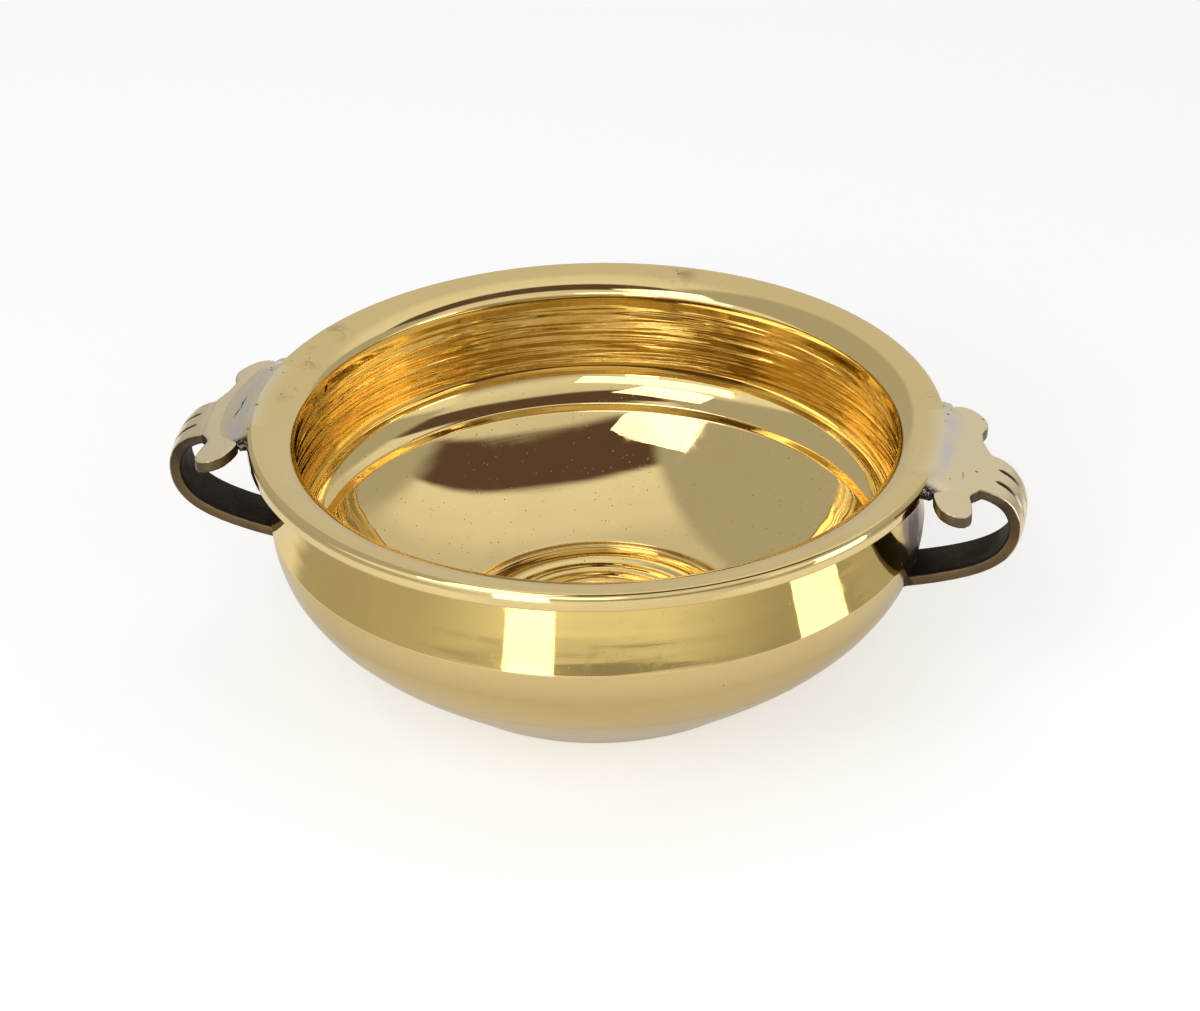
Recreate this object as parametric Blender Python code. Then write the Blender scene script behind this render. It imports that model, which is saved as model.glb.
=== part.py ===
"""Brass urli: a turned bowl with a dished rim and two cast ear-and-strap handles brazed to it.

Metres, +Z up. The origin is on the bowl's axis, in the plane that its foot stands on. The handles lie
along X, each turned a little towards -Y.
"""

import math
from itertools import accumulate

import bmesh
import bpy
from mathutils import Matrix, Vector

MM = 0.001

# Overall sizes of the bowl
RIM_RADIUS = 100.0 * MM
HEIGHT = 76.0 * MM
FOOT_RADIUS = 56.5 * MM

# The rim: a dished top that rises from the mouth to a crown near the outer edge, over an upright band
RIM_WIDTH = 12.1 * MM
RIM_RISE = 6.0 * MM
CROWN_INSET = 2.0 * MM
CROWN_DROP = 2.7 * MM
BAND_HEIGHT = 2.0 * MM
BAND_ROUND = 0.4 * MM
LIP_HEIGHT = 1.2 * MM
LIP_UNDERCUT_HEIGHT = 2.4 * MM

# The outside below the rim: a shoulder that swells from the neck, a belly and a straight fall to the foot
NECK_INSET = 9.2 * MM
NECK_DROP = 1.5 * MM
NECK_LEAN = math.radians(18.0)
NECK_PULL = 7.0 * MM
BELLY_SWELL = 3.8 * MM
BELLY_HEIGHT = 47.5 * MM
BELLY_LEAN = math.radians(5.0)
BELLY_PULL_UP = 7.5 * MM
BELLY_PULL_DOWN = 20.0 * MM
FOOT_SLOPE = math.radians(40.0)
FOOT_RUN = 26.5 * MM
FOOT_RING_WIDTH = 8.0 * MM
FOOT_RECESS = 1.5 * MM

# The inside: a wall that follows the shoulder, a cove down to a ledge, a low riser, a dish and a base recess
WALL = 3.2 * MM
COVE_RADIUS = 14.0 * MM
COVE_TURN = math.radians(58.0)
LEDGE_HEIGHT = 34.3 * MM
RISER_HEIGHT = 2.6 * MM
RISER_RUN = 0.7 * MM
DISH_FALL = 11.5 * MM
DISH_RUN = 5.5 * MM
DISH_TAIL = 19.0 * MM
DISH_TAIL_RISE = 2.6 * MM
RECESS_RADIUS = 43.5 * MM
RECESS_DEPTH = 1.6 * MM
RECESS_EDGE = 2.2 * MM
RECESS_FLOOR = 5.0 * MM
BEAD_RADIUS = 36.2 * MM
BEAD_WIDTH = 4.4 * MM
BEAD_HEIGHT = 0.75 * MM

# Clearance between neighbouring pieces, and the filler metal that bridges it
GAP = 0.3 * MM
RIM_BRAZE_WIDTH = 1.8 * MM
FOOT_BRAZE_THICK = 1.2 * MM
FOOT_BRAZE_MARGIN = 0.8 * MM
FOOT_BRAZE_REACH = 24.0 * MM

# The handles: an ear that droops away from the rim, and a strap that bends down and back to the belly
HANDLE_TURN = math.radians(4.5)
EAR_THICK = 3.5 * MM
EAR_DROOP = math.radians(10.5)
EAR_BEVEL = 0.6 * MM
EAR_JOINT_FRONT = 21.0 * MM
EAR_JOINT_BACK = 27.0 * MM
EAR_REACH = 12.3 * MM
STRAP_WIDTH = 15.8 * MM
STRAP_FLARE = 5.0 * MM
STRAP_FLARE_LENGTH = 9.0 * MM
STRAP_THICK = 3.8 * MM
STRAP_ROOT = 7.0 * MM
STRAP_ROOT_THICK = 2.6 * MM
STRAP_ROUND = 0.8 * MM
STRAP_SHIFT = -2.0 * MM
STRAP_BEND = 11.8 * MM
STRAP_DROP = 36.5 * MM
STRAP_FALL = math.radians(14.0)
STRAP_PULL_DOWN = 11.0 * MM
STRAP_PULL_OUT = 21.5 * MM

# Lobes of the ear, as (distance out from the rim, distance along it) in millimetres, -Y side first
FRONT_LOBE = ((0.8, -23.6), (3.0, -28.0), (6.3, -30.0), (9.8, -29.6),
              (11.6, -26.4), (11.0, -21.4), (10.0, -16.8))
BACK_LOBE = ((9.8, 13.4), (8.6, 18.0), (9.4, 22.0), (8.8, 26.0),
             (5.4, 29.6), (1.8, 30.6), (-1.0, 29.4))

# How far the rim's curves lean towards their corners, as shares of the stretch that they bend
MOUTH_LEAN = (0.33, 0.5)
CROWN_LEAN = 0.25
SHOULDER_LEAN = (0.67, 0.5)

# Facets round the bowl and along each curve
TURN_STEPS = 76
NECK_STEPS = 5
BELLY_STEPS = 12
RIM_STEPS = 7
SHOULDER_STEPS = 4
WALL_STEPS = 4
COVE_STEPS = 5
DISH_STEPS = 10
BEAD_STEPS = 4
RECESS_STEPS = 3
JOINT_STEPS = 14
LOBE_STEPS = 5
BEND_STEPS = 9
RUN_STEPS = 12
BRAZE_STEPS = 20

# Limits for shading, bevels, merging and rounding
SHARP_ANGLE = math.radians(35.0)
BEVEL_ANGLE = math.radians(75.0)
MERGE_DISTANCE = 0.01 * MM
ROUND_SHARE = 0.6

# Colours and roughness of the metals
POLISHED_BRASS = (0.72, 0.55, 0.24), 0.12
CAST_BRASS = (0.62, 0.50, 0.27), 0.3
BRAZE_FILLER = (0.48, 0.44, 0.38), 0.4
DARK_FILLER = (0.13, 0.10, 0.07), 0.5

# Sizes that follow from the ones above
MOUTH_RADIUS = RIM_RADIUS - RIM_WIDTH
NECK_RADIUS = RIM_RADIUS - NECK_INSET
BELLY_RADIUS = NECK_RADIUS + BELLY_SWELL
LIP_Z = HEIGHT - RIM_RISE
BAND_TOP = HEIGHT - CROWN_DROP
BAND_BOTTOM = BAND_TOP - BAND_HEIGHT
NECK_TOP = BAND_BOTTOM - BAND_ROUND - NECK_DROP
EAR_EDGE = RIM_RADIUS + 2 * GAP + RIM_BRAZE_WIDTH
EAR_END = RIM_RADIUS + EAR_REACH
STRAP_OFFSET = FOOT_BRAZE_THICK + 2 * GAP


def clear_scene():
    """Remove every object, so that the script starts from nothing."""
    for item in list(bpy.data.objects):
        bpy.data.objects.remove(item, do_unlink=True)


def metal(name, colour, roughness):
    """A metallic Principled material."""
    material = bpy.data.materials.new(name)
    material.use_nodes = True
    shader = material.node_tree.nodes["Principled BSDF"]
    shader.inputs["Base Color"].default_value = (*colour, 1.0)
    shader.inputs["Metallic"].default_value = 1.0
    shader.inputs["Roughness"].default_value = roughness
    return material


def add_object(name, bm, material=None):
    """Put a bmesh into the scene as a smooth-shaded object."""
    bmesh.ops.recalc_face_normals(bm, faces=bm.faces)
    mesh = bpy.data.meshes.new(name)
    bm.to_mesh(mesh)
    bm.free()
    mesh.shade_smooth()
    mesh.set_sharp_from_angle(angle=SHARP_ANGLE)
    item = bpy.data.objects.new(name, mesh)
    bpy.context.scene.collection.objects.link(item)
    if material:
        mesh.materials.append(material)
    return item


def as_helper(item):
    """Keep an object as a Boolean operand only."""
    item.hide_render = True
    item.display_type = "WIRE"
    return item


def combine(item, operation, other):
    """Add a Boolean modifier to an object."""
    modifier = item.modifiers.new(operation.lower(), "BOOLEAN")
    modifier.operation = operation
    modifier.solver = "EXACT"
    modifier.object = other


def bezier(start, first, second, end, steps):
    """Points of a cubic curve, both ends included."""
    corners = [Vector(p) for p in (start, first, second, end)]
    points = []
    for i in range(steps + 1):
        t = i / steps
        weights = ((1 - t) ** 3, 3 * t * (1 - t) ** 2, 3 * t * t * (1 - t), t ** 3)
        points.append(sum((w * c for w, c in zip(weights, corners)), Vector((0.0, 0.0))))
    return points


def arc(centre, radius, start, end, steps):
    """Points of a circular arc between two angles, both ends included."""
    angles = [start + (end - start) * i / steps for i in range(steps + 1)]
    return [Vector((centre[0] + radius * math.cos(a), centre[1] + radius * math.sin(a))) for a in angles]


def through(points, steps):
    """A smooth Catmull-Rom curve through the given points, both ends included."""
    points = [Vector(p) for p in points]
    padded = [2 * points[0] - points[1], *points, 2 * points[-1] - points[-2]]
    curve = []
    for a, b, c, d in zip(padded, padded[1:], padded[2:], padded[3:]):
        for i in range(steps):
            t = i / steps
            curve.append(0.5 * (2 * b + (c - a) * t + (2 * a - 5 * b + 4 * c - d) * t ** 2
                                + (3 * b - a - 3 * c + d) * t ** 3))
    return curve + [points[-1]]


def turned(name, profile, material=None):
    """Turn a profile of (radius, height) points about Z, from its inner side over the top to its foot."""
    bm = bmesh.new()
    points = [bm.verts.new((r, 0.0, z)) for r, z in profile]
    for one, next_one in zip(points, points[1:]):
        bm.edges.new((one, next_one))
    mesh = bpy.data.meshes.new(name)
    bm.to_mesh(mesh)
    bm.free()
    item = bpy.data.objects.new(name, mesh)
    bpy.context.scene.collection.objects.link(item)
    screw = item.modifiers.new("turn", "SCREW")
    screw.axis = "Z"
    screw.steps = screw.render_steps = TURN_STEPS
    screw.use_merge_vertices = True
    screw.merge_threshold = MERGE_DISTANCE
    screw.use_smooth_shade = True
    if material:
        mesh.materials.append(material)
    return item


def belly_curve():
    """The outside below the rim, from the neck's top to the foot's edge, as (radius, height) points."""
    neck, widest = Vector((NECK_RADIUS, NECK_TOP)), Vector((BELLY_RADIUS, BELLY_HEIGHT))
    lean_out = NECK_PULL * Vector((math.sin(NECK_LEAN), -math.cos(NECK_LEAN)))
    lean_in = BELLY_PULL_UP * Vector((-math.sin(BELLY_LEAN), math.cos(BELLY_LEAN)))
    shoulder = bezier(neck, neck + lean_out, widest + lean_in, widest, NECK_STEPS)
    tail = (FOOT_RADIUS + FOOT_RUN * math.cos(FOOT_SLOPE), FOOT_RUN * math.sin(FOOT_SLOPE))
    belly = bezier(widest, widest - Vector((0.0, BELLY_PULL_DOWN)), tail, (FOOT_RADIUS, 0.0), BELLY_STEPS)
    return shoulder + belly[1:]


def belly_radius(height):
    """Radius of the outside at a height between the foot and the neck's top."""
    curve = belly_curve()
    for upper, lower in zip(curve, curve[1:]):
        if lower[1] <= height <= upper[1]:
            share = (height - lower[1]) / (upper[1] - lower[1])
            return lower[0] + share * (upper[0] - lower[0])
    return NECK_RADIUS


def rim_curve():
    """The rim's top, from the mouth's edge over the crown to the bottom of the band."""
    crown_radius = RIM_RADIUS - CROWN_INSET
    slope = bezier((MOUTH_RADIUS, LIP_Z),
                   (MOUTH_RADIUS + RIM_WIDTH * MOUTH_LEAN[0], LIP_Z + RIM_RISE * MOUTH_LEAN[1]),
                   (crown_radius - RIM_WIDTH * CROWN_LEAN, HEIGHT), (crown_radius, HEIGHT), RIM_STEPS)
    shoulder = bezier((crown_radius, HEIGHT), (crown_radius + CROWN_INSET * SHOULDER_LEAN[0], HEIGHT),
                      (RIM_RADIUS, HEIGHT - CROWN_DROP * SHOULDER_LEAN[1]),
                      (RIM_RADIUS, BAND_TOP), SHOULDER_STEPS)
    band = [Vector((RIM_RADIUS, BAND_BOTTOM)), Vector((RIM_RADIUS - BAND_ROUND, BAND_BOTTOM - BAND_ROUND))]
    return slope + shoulder[1:] + band


def floor_curve():
    """The turned base recess, from the axis over the low round bead to the recess's upper edge."""
    bead = []
    for i in range(BEAD_STEPS + 1):
        across = 2 * i / BEAD_STEPS - 1
        bead.append((BEAD_RADIUS + BEAD_WIDTH / 2 * across, RECESS_FLOOR + BEAD_HEIGHT * (1 - across ** 2)))
    corner = (RECESS_RADIUS, RECESS_FLOOR)
    edge = bezier((RECESS_RADIUS - RECESS_EDGE, RECESS_FLOOR), corner, corner,
                  (RECESS_RADIUS, RECESS_FLOOR + RECESS_DEPTH), RECESS_STEPS)
    return [(0.0, RECESS_FLOOR), *bead, *edge]


def inside_curve():
    """The inside, from the middle of the floor up the dish, the riser and the wall to below the mouth."""
    floor = floor_curve()
    wall_bottom = LEDGE_HEIGHT + COVE_RADIUS * math.sin(COVE_TURN)
    wall_top = LIP_Z - LIP_HEIGHT - LIP_UNDERCUT_HEIGHT
    heights = [wall_bottom + (wall_top - wall_bottom) * i / WALL_STEPS for i in range(WALL_STEPS + 1)]
    wall = [(belly_radius(z) - WALL, z) for z in heights]
    cove = arc((wall[0][0] - COVE_RADIUS, wall_bottom), COVE_RADIUS, -COVE_TURN, 0.0, COVE_STEPS)
    dish_start = cove[0] - Vector((RISER_RUN, RISER_HEIGHT))
    dish = bezier(floor[-1], Vector(floor[-1]) + Vector((DISH_TAIL, DISH_TAIL_RISE)),
                  dish_start - Vector((DISH_RUN, DISH_FALL)), dish_start, DISH_STEPS)
    return [*floor, *dish[1:], *cove, *wall[1:], (MOUTH_RADIUS, LIP_Z - LIP_HEIGHT)]


def underside():
    """The foot's flat ring and the shallow recess inside it, ending on the axis."""
    ring = FOOT_RADIUS - FOOT_RING_WIDTH
    return [(ring, 0.0), (ring - FOOT_RECESS, FOOT_RECESS), (0.0, FOOT_RECESS)]


def make_bowl(material):
    """The turned casting."""
    return turned("bowl", [*inside_curve(), *rim_curve(), *belly_curve(), *underside()], material)


def wall_helper(name, offset):
    """A solid of the belly's outside, grown by an offset, that shapes what meets the belly."""
    outside = [(r + offset, z) for r, z in belly_curve()]
    return as_helper(turned(name, [(0.0, outside[0][1]), *outside, (0.0, outside[-1][1])]))


def strap_width(along):
    """Width of the strap at a distance along it from the ear's end, where it flares to meet the ear."""
    return STRAP_WIDTH + STRAP_FLARE * math.exp(-((along / STRAP_FLARE_LENGTH) ** 2))


def joint_angles():
    """Angles about the axis where the ear's joint with the rim starts and ends."""
    return -math.asin(EAR_JOINT_FRONT / EAR_EDGE), math.asin(EAR_JOINT_BACK / EAR_EDGE)


def ear_outline():
    """The ear seen from above, as (distance from the axis, distance along the rim) points, unturned."""
    front, back = joint_angles()
    joint = arc((0.0, 0.0), EAR_EDGE, back, front, JOINT_STEPS)
    front_root = (EAR_END, STRAP_SHIFT - strap_width(0.0) / 2)
    back_root = (EAR_END, STRAP_SHIFT + strap_width(0.0) / 2)
    front_lobe = [(RIM_RADIUS + out * MM, along * MM) for out, along in FRONT_LOBE]
    back_lobe = [(RIM_RADIUS + out * MM, along * MM) for out, along in BACK_LOBE]
    front_side = through([joint[-1], *front_lobe, front_root], LOBE_STEPS)
    back_side = through([back_root, *back_lobe, joint[0]], LOBE_STEPS)
    return joint + front_side[1:] + back_side[:-1]


def droop(out):
    """Height of the ear's top at a distance from the axis."""
    return BAND_TOP - (out - EAR_EDGE) * math.tan(EAR_DROOP)


def strap_path():
    """The strap's middle line as (out, height) points: along the ear, round the bend and in to the belly."""
    root = EAR_EDGE + STRAP_ROOT
    middle = EAR_THICK / 2 / math.cos(EAR_DROOP)
    bend_start = Vector((EAR_END, droop(EAR_END) - middle))
    centre = bend_start - STRAP_BEND * Vector((math.sin(EAR_DROOP), math.cos(EAR_DROOP)))
    bend = arc(centre, STRAP_BEND, math.pi / 2 - EAR_DROOP, 0.0, BEND_STEPS)
    foot_height = BAND_TOP - STRAP_DROP
    foot = Vector((belly_radius(foot_height) - WALL / 2, foot_height))
    pull_in = STRAP_PULL_OUT * Vector((math.cos(STRAP_FALL), math.sin(STRAP_FALL)))
    run = bezier(bend[-1], bend[-1] - Vector((0.0, STRAP_PULL_DOWN)), foot + pull_in, foot, RUN_STEPS)
    return [Vector((root, droop(root) - middle)), *bend, *run[1:]]


def swept(name, path, widths, thicks, shift, material=None):
    """A strap with round edges: a flat section of given width and thickness at each point of its path."""
    bm = bmesh.new()
    rings = []
    for i, point in enumerate(path):
        ahead, behind = path[min(i + 1, len(path) - 1)], path[max(i - 1, 0)]
        along = (ahead - behind).normalized()
        normal = Vector((-along[1], along[0]))
        half_w, half_t = widths[i] / 2, thicks[i] / 2
        corner = min(STRAP_ROUND, half_t * ROUND_SHARE)
        quarter = [Vector((half_w - corner, half_t - corner)) + corner * Vector((math.cos(a), math.sin(a)))
                   for a in (0.0, math.pi / 4, math.pi / 2)]
        half = quarter + [Vector((-p[0], p[1])) for p in reversed(quarter)]
        section = half + [-p for p in half]
        rings.append([bm.verts.new((point[0] + across * normal[0], shift + along_rim,
                                    point[1] + across * normal[1])) for along_rim, across in section])
    skin(bm, rings)
    return add_object(name, bm, material)


def skin(bm, rings):
    """Join rings of vertices into a closed tube with flat ends."""
    for one, next_one in zip(rings, rings[1:]):
        for k in range(len(one)):
            m = (k + 1) % len(one)
            bm.faces.new((one[k], one[m], next_one[m], next_one[k]))
    bm.faces.new(rings[0])
    bm.faces.new(rings[-1])


def placed(item, side):
    """Turn a handle piece to its place: right as modelled, left mirrored across the YZ plane."""
    turn = Matrix.Rotation(-HANDLE_TURN, 4, "Z")
    mirror = Matrix.Scale(side, 4, (1.0, 0.0, 0.0))
    item.data.transform(mirror @ turn)
    if side < 0:
        item.data.flip_normals()
    return item


def make_ear(name, side, material):
    """The flat two-lobed ear, with its edges bevelled."""
    bm = bmesh.new()
    top = bm.faces.new([bm.verts.new((u, t, droop(u))) for u, t in ear_outline()])
    body = bmesh.ops.extrude_face_region(bm, geom=[top])
    lowered = [v for v in body["geom"] if isinstance(v, bmesh.types.BMVert)]
    bmesh.ops.translate(bm, verts=lowered, vec=(0.0, 0.0, -EAR_THICK / math.cos(EAR_DROOP)))
    ear = placed(add_object(name, bm, material), side)
    bevel = ear.modifiers.new("edges", "BEVEL")
    bevel.width = EAR_BEVEL
    bevel.segments = 2
    bevel.limit_method = "ANGLE"
    bevel.angle_limit = BEVEL_ANGLE
    return ear


def make_handle(name, side, wall, material):
    """The cast handle: the ear and the strap as one body, ended just short of the belly."""
    handle = make_ear(name, side, material)
    path = strap_path()
    lengths = [0.0, *accumulate((b - a).length for a, b in zip(path[1:], path[2:]))]
    widths = [strap_width(0.0), *map(strap_width, lengths)]
    thicks = [STRAP_ROOT_THICK, *[STRAP_THICK] * len(lengths)]
    strap = as_helper(placed(swept(name + "_strap", path, widths, thicks, STRAP_SHIFT), side))
    combine(strap, "DIFFERENCE", wall)
    combine(handle, "UNION", strap)
    return handle


def make_rim_braze(name, side, material):
    """The filler between the rim's band and the ear's inner edge: a low crowned strip along the joint."""
    inner, outer = RIM_RADIUS + GAP, EAR_EDGE - GAP
    top, bottom = BAND_TOP, BAND_TOP - EAR_THICK
    crown = ((inner + outer) / 2, top + GAP)
    section = [(inner, bottom + GAP), (inner, top), crown, (outer, top), (outer, bottom)]
    front, back = joint_angles()
    bm = bmesh.new()
    rings = []
    for i in range(BRAZE_STEPS + 1):
        a = front + (back - front) * i / BRAZE_STEPS
        rings.append([bm.verts.new((r * math.cos(a), r * math.sin(a), z)) for r, z in section])
    skin(bm, rings)
    return placed(add_object(name, bm, material), side)


def make_foot_braze(name, side, inner_wall, outer_wall, material):
    """The filler under the strap's end: a thin pad that follows the belly and shows round the strap."""
    foot = strap_path()[-1]
    out = foot + FOOT_BRAZE_REACH * Vector((math.cos(STRAP_FALL), math.sin(STRAP_FALL)))
    margin = 2 * FOOT_BRAZE_MARGIN
    widths, thicks = [STRAP_WIDTH + margin] * 2, [STRAP_THICK + margin] * 2
    pad = placed(swept(name, [out, foot], widths, thicks, STRAP_SHIFT, material), side)
    combine(pad, "DIFFERENCE", inner_wall)
    combine(pad, "INTERSECT", outer_wall)
    return pad


def main():
    """Build every piece."""
    clear_scene()
    polished = metal("polished_brass", *POLISHED_BRASS)
    cast = metal("cast_brass", *CAST_BRASS)
    filler = metal("braze_filler", *BRAZE_FILLER)
    dark = metal("dark_filler", *DARK_FILLER)
    make_bowl(polished)
    pad_inner = wall_helper("pad_inner_wall", GAP)
    pad_outer = wall_helper("pad_outer_wall", GAP + FOOT_BRAZE_THICK)
    strap_wall = wall_helper("strap_wall", STRAP_OFFSET)
    for hand, side in (("right", 1.0), ("left", -1.0)):
        make_handle(hand + "_handle", side, strap_wall, cast)
        make_rim_braze(hand + "_rim_braze", side, filler)
        make_foot_braze(hand + "_foot_braze", side, pad_inner, pad_outer, dark)


main()
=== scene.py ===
"""Looks of a brass urli: a turned bowl with two cast ear-and-strap handles brazed to its rim and its belly.

Sizes are in millimetres and are turned into metres where a mesh is made. Every new surface is worked out
with numpy: the bowl is a profile carried round its axis, the strap a section carried along a path.
"""

import logging
import math
from dataclasses import dataclass, field
from enum import Enum

import bpy
import numpy as np
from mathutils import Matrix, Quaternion, Vector


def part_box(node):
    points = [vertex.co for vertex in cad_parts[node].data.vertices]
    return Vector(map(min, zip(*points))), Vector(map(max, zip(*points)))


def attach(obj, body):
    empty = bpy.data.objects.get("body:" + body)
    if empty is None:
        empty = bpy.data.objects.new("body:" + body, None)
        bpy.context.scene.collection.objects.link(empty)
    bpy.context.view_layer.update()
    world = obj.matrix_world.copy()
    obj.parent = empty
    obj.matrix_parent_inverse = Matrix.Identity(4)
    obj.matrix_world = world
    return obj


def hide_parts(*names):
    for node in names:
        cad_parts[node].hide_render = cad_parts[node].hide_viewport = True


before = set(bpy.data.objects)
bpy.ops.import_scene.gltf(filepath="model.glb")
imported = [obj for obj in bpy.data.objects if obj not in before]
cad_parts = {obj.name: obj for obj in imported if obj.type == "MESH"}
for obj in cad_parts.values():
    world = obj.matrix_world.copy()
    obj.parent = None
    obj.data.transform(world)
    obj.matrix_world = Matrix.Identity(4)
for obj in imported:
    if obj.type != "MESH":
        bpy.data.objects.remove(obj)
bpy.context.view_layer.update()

MM = 0.001
BODY = "root"
CAMERA_AZIMUTH = math.radians(10.1)
LOG = logging.getLogger("urli")

Colour = tuple[float, float, float]
Pair = tuple[float, float]


class Side(Enum):
    """The bowl's two sides, as the sign of X."""

    RIGHT = 1
    LEFT = -1

    @property
    def word(self) -> str:
        """The side's name as it starts a piece's name."""
        return self.name.lower()


class Slot(Enum):
    """The record's material slots."""

    POLISHED = "polished_brass"
    CAST = "cast_brass"
    FILLER = "braze_filler"
    DARK = "dark_filler"


# Curves and shapes


def bezier(start: Pair, first: Pair, second: Pair, end: Pair, steps: int) -> np.ndarray:
    """A cubic curve: the four corners weighted by the Bernstein polynomials of the way along.

    Args:
        start: First point.
        first: Corner that the curve leaves towards.
        second: Corner that the curve arrives from.
        end: Last point.
        steps: Number of stretches.

    Returns:
        The points, both ends included, as an array of steps + 1 rows.
    """
    t = np.linspace(0.0, 1.0, steps + 1)[:, None]
    corners = np.array([start, first, second, end], float)
    return ((1 - t) ** 3 * corners[0] + 3 * t * (1 - t) ** 2 * corners[1]
            + 3 * t ** 2 * (1 - t) * corners[2] + t ** 3 * corners[3])


def arc(centre: Pair, radius: float, start: float, end: float, steps: int) -> np.ndarray:
    """A circular arc: the centre plus the radius times (cosine, sine) of an even run of angles.

    Args:
        centre: Middle of the circle.
        radius: Its radius.
        start: First angle, in radians.
        end: Last angle, in radians.
        steps: Number of stretches.

    Returns:
        The points, both ends included.
    """
    angle = np.linspace(start, end, steps + 1)
    return np.array(centre) + radius * np.stack([np.cos(angle), np.sin(angle)], 1)


def through(points: np.ndarray, steps: int) -> np.ndarray:
    """A Catmull-Rom curve: between two points, the cubic whose slopes follow their neighbours.

    Args:
        points: The points to pass through.
        steps: Number of stretches between two points.

    Returns:
        The curve's points, both ends included.
    """
    points = np.asarray(points, float)
    padded = np.vstack([2 * points[0] - points[1], points, 2 * points[-1] - points[-2]])
    a, b, c, d = (padded[i:len(padded) - 3 + i, None] for i in range(4))
    t = (np.arange(steps) / steps)[None, :, None]
    curve = 0.5 * (2 * b + (c - a) * t + (2 * a - 5 * b + 4 * c - d) * t ** 2
                   + (3 * b - a - 3 * c + d) * t ** 3)
    return np.vstack([curve.reshape(-1, points.shape[1]), points[-1:]])


def lengths(points: np.ndarray) -> np.ndarray:
    """Distance along a line of points at each of them, from the first."""
    return np.concatenate([[0.0], np.cumsum(np.linalg.norm(np.diff(points, axis=0), axis=1))])


def resampled(points: np.ndarray, places: np.ndarray) -> np.ndarray:
    """Points of a line at given distances along it, by straight stretches between its own points."""
    at = lengths(points)
    return np.stack([np.interp(places, at, points[:, k]) for k in range(points.shape[1])], 1)


def smooth_step(low: float, high: float, value: np.ndarray) -> np.ndarray:
    """0 below low, 1 above high, and the cubic 3x^2 - 2x^3 of the share of the way in between."""
    share = np.clip((value - low) / (high - low), 0.0, 1.0)
    return share * share * (3 - 2 * share)


def across(points: np.ndarray) -> np.ndarray:
    """Unit normals of a line in a plane: its direction turned a quarter turn to the left.

    Args:
        points: The line's points, one in each row.

    Returns:
        The normal at each point.
    """
    along = np.gradient(points, axis=0)
    along /= np.linalg.norm(along, axis=1, keepdims=True)
    return np.stack([-along[:, 1], along[:, 0]], 1)


def joined(sections: list[np.ndarray], rows: list[int], rounding: float) -> tuple[np.ndarray, np.ndarray]:
    """Run sections of a profile into one line, with each corner between two of them rounded.

    Both sections are cut back from the corner by the rounding, a short one only by a share of its length,
    and a parabola whose corner is the old one joins their ends.

    Args:
        sections: Lines of points, each starting where the one before ends.
        rows: How many points each section gets.
        rounding: How far a corner is cut back.

    Returns:
        The points, and for each point the number of its section.
    """
    blend = np.linspace(0.0, 1.0, 5)[1:-1, None]
    most = 0.35
    line, owner = [], []
    for number, (section, count) in enumerate(zip(sections, rows)):
        total = lengths(section)[-1]
        cut = min(rounding, most * total)
        start = cut if number else 0.0
        end = total - (cut if number < len(sections) - 1 else 0.0)
        part = resampled(section, np.linspace(start, end, count))
        if number:
            corner, last = section[0], line[-1][-1]
            bend = (1 - blend) ** 2 * last + 2 * blend * (1 - blend) * corner + blend ** 2 * part[0]
            line.append(bend)
            owner.append(np.full(len(bend), number))
        line.append(part)
        owner.append(np.full(len(part), number))
    return np.vstack(line), np.concatenate(owner)


def ripple(along: np.ndarray, angle: np.ndarray, waves: Pair, slope: float, seed: int) -> np.ndarray:
    """Turning marks: a sum of sine waves along the profile, whose phase and height drift round the axis.

    Args:
        along: Distance along the profile of each row.
        angle: Angle about the axis of each column.
        waves: Shortest and longest wavelength.
        slope: About the root mean square slope of the sum, in degrees.
        seed: Start of the random numbers.

    Returns:
        Heights of the marks, one row for each place along and one column for each angle.
    """
    rng = np.random.default_rng(seed)
    count = 14
    wavelength = np.geomspace(*waves, count)[:, None, None] * rng.uniform(0.92, 1.08, (count, 1, 1))
    phase, turn = rng.uniform(0, 2 * np.pi, (2, count, 1, 1))
    lobes = rng.integers(2, 9, (count, 1, 1))
    drift = rng.uniform(0.3, 1.3, (count, 1, 1)) * np.sin(lobes * angle + turn)
    swell = 0.6 + 0.4 * np.sin(rng.integers(3, 16, (count, 1, 1)) * angle + phase)
    height = math.radians(slope) * wavelength / (2 * np.pi) / math.sqrt(count / 2)
    return (height * swell * np.sin(2 * np.pi * along[:, None] / wavelength + phase + drift)).sum(0)


def round_axis(radius: np.ndarray, angle: np.ndarray, height: np.ndarray) -> np.ndarray:
    """Points (r cos a, r sin a, z) from radii, angles about the axis and heights, one in each row."""
    return np.stack([radius * np.cos(angle), radius * np.sin(angle), height], -1).reshape(-1, 3)


# Meshes


def new_mesh(name: str, points: np.ndarray, faces: list[np.ndarray]) -> bpy.types.Mesh:
    """Make a smooth-shaded mesh.

    Args:
        name: The mesh's name.
        points: Vertices in millimetres.
        faces: Arrays of faces, each with one row for a face and one column for a corner.

    Returns:
        The mesh, in metres.
    """
    corners = np.concatenate([block.ravel() for block in faces]).astype(np.int32)
    sizes = np.concatenate([np.full(len(block), block.shape[1]) for block in faces])
    mesh = bpy.data.meshes.new(name)
    mesh.vertices.add(len(points))
    mesh.vertices.foreach_set("co", (points * MM).astype(np.float32).ravel())
    mesh.loops.add(len(corners))
    mesh.loops.foreach_set("vertex_index", corners)
    mesh.polygons.add(len(sizes))
    mesh.polygons.foreach_set("loop_start", np.concatenate([[0], np.cumsum(sizes)[:-1]]).astype(np.int32))
    mesh.update(calc_edges=True)
    mesh.shade_smooth()
    return mesh


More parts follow.
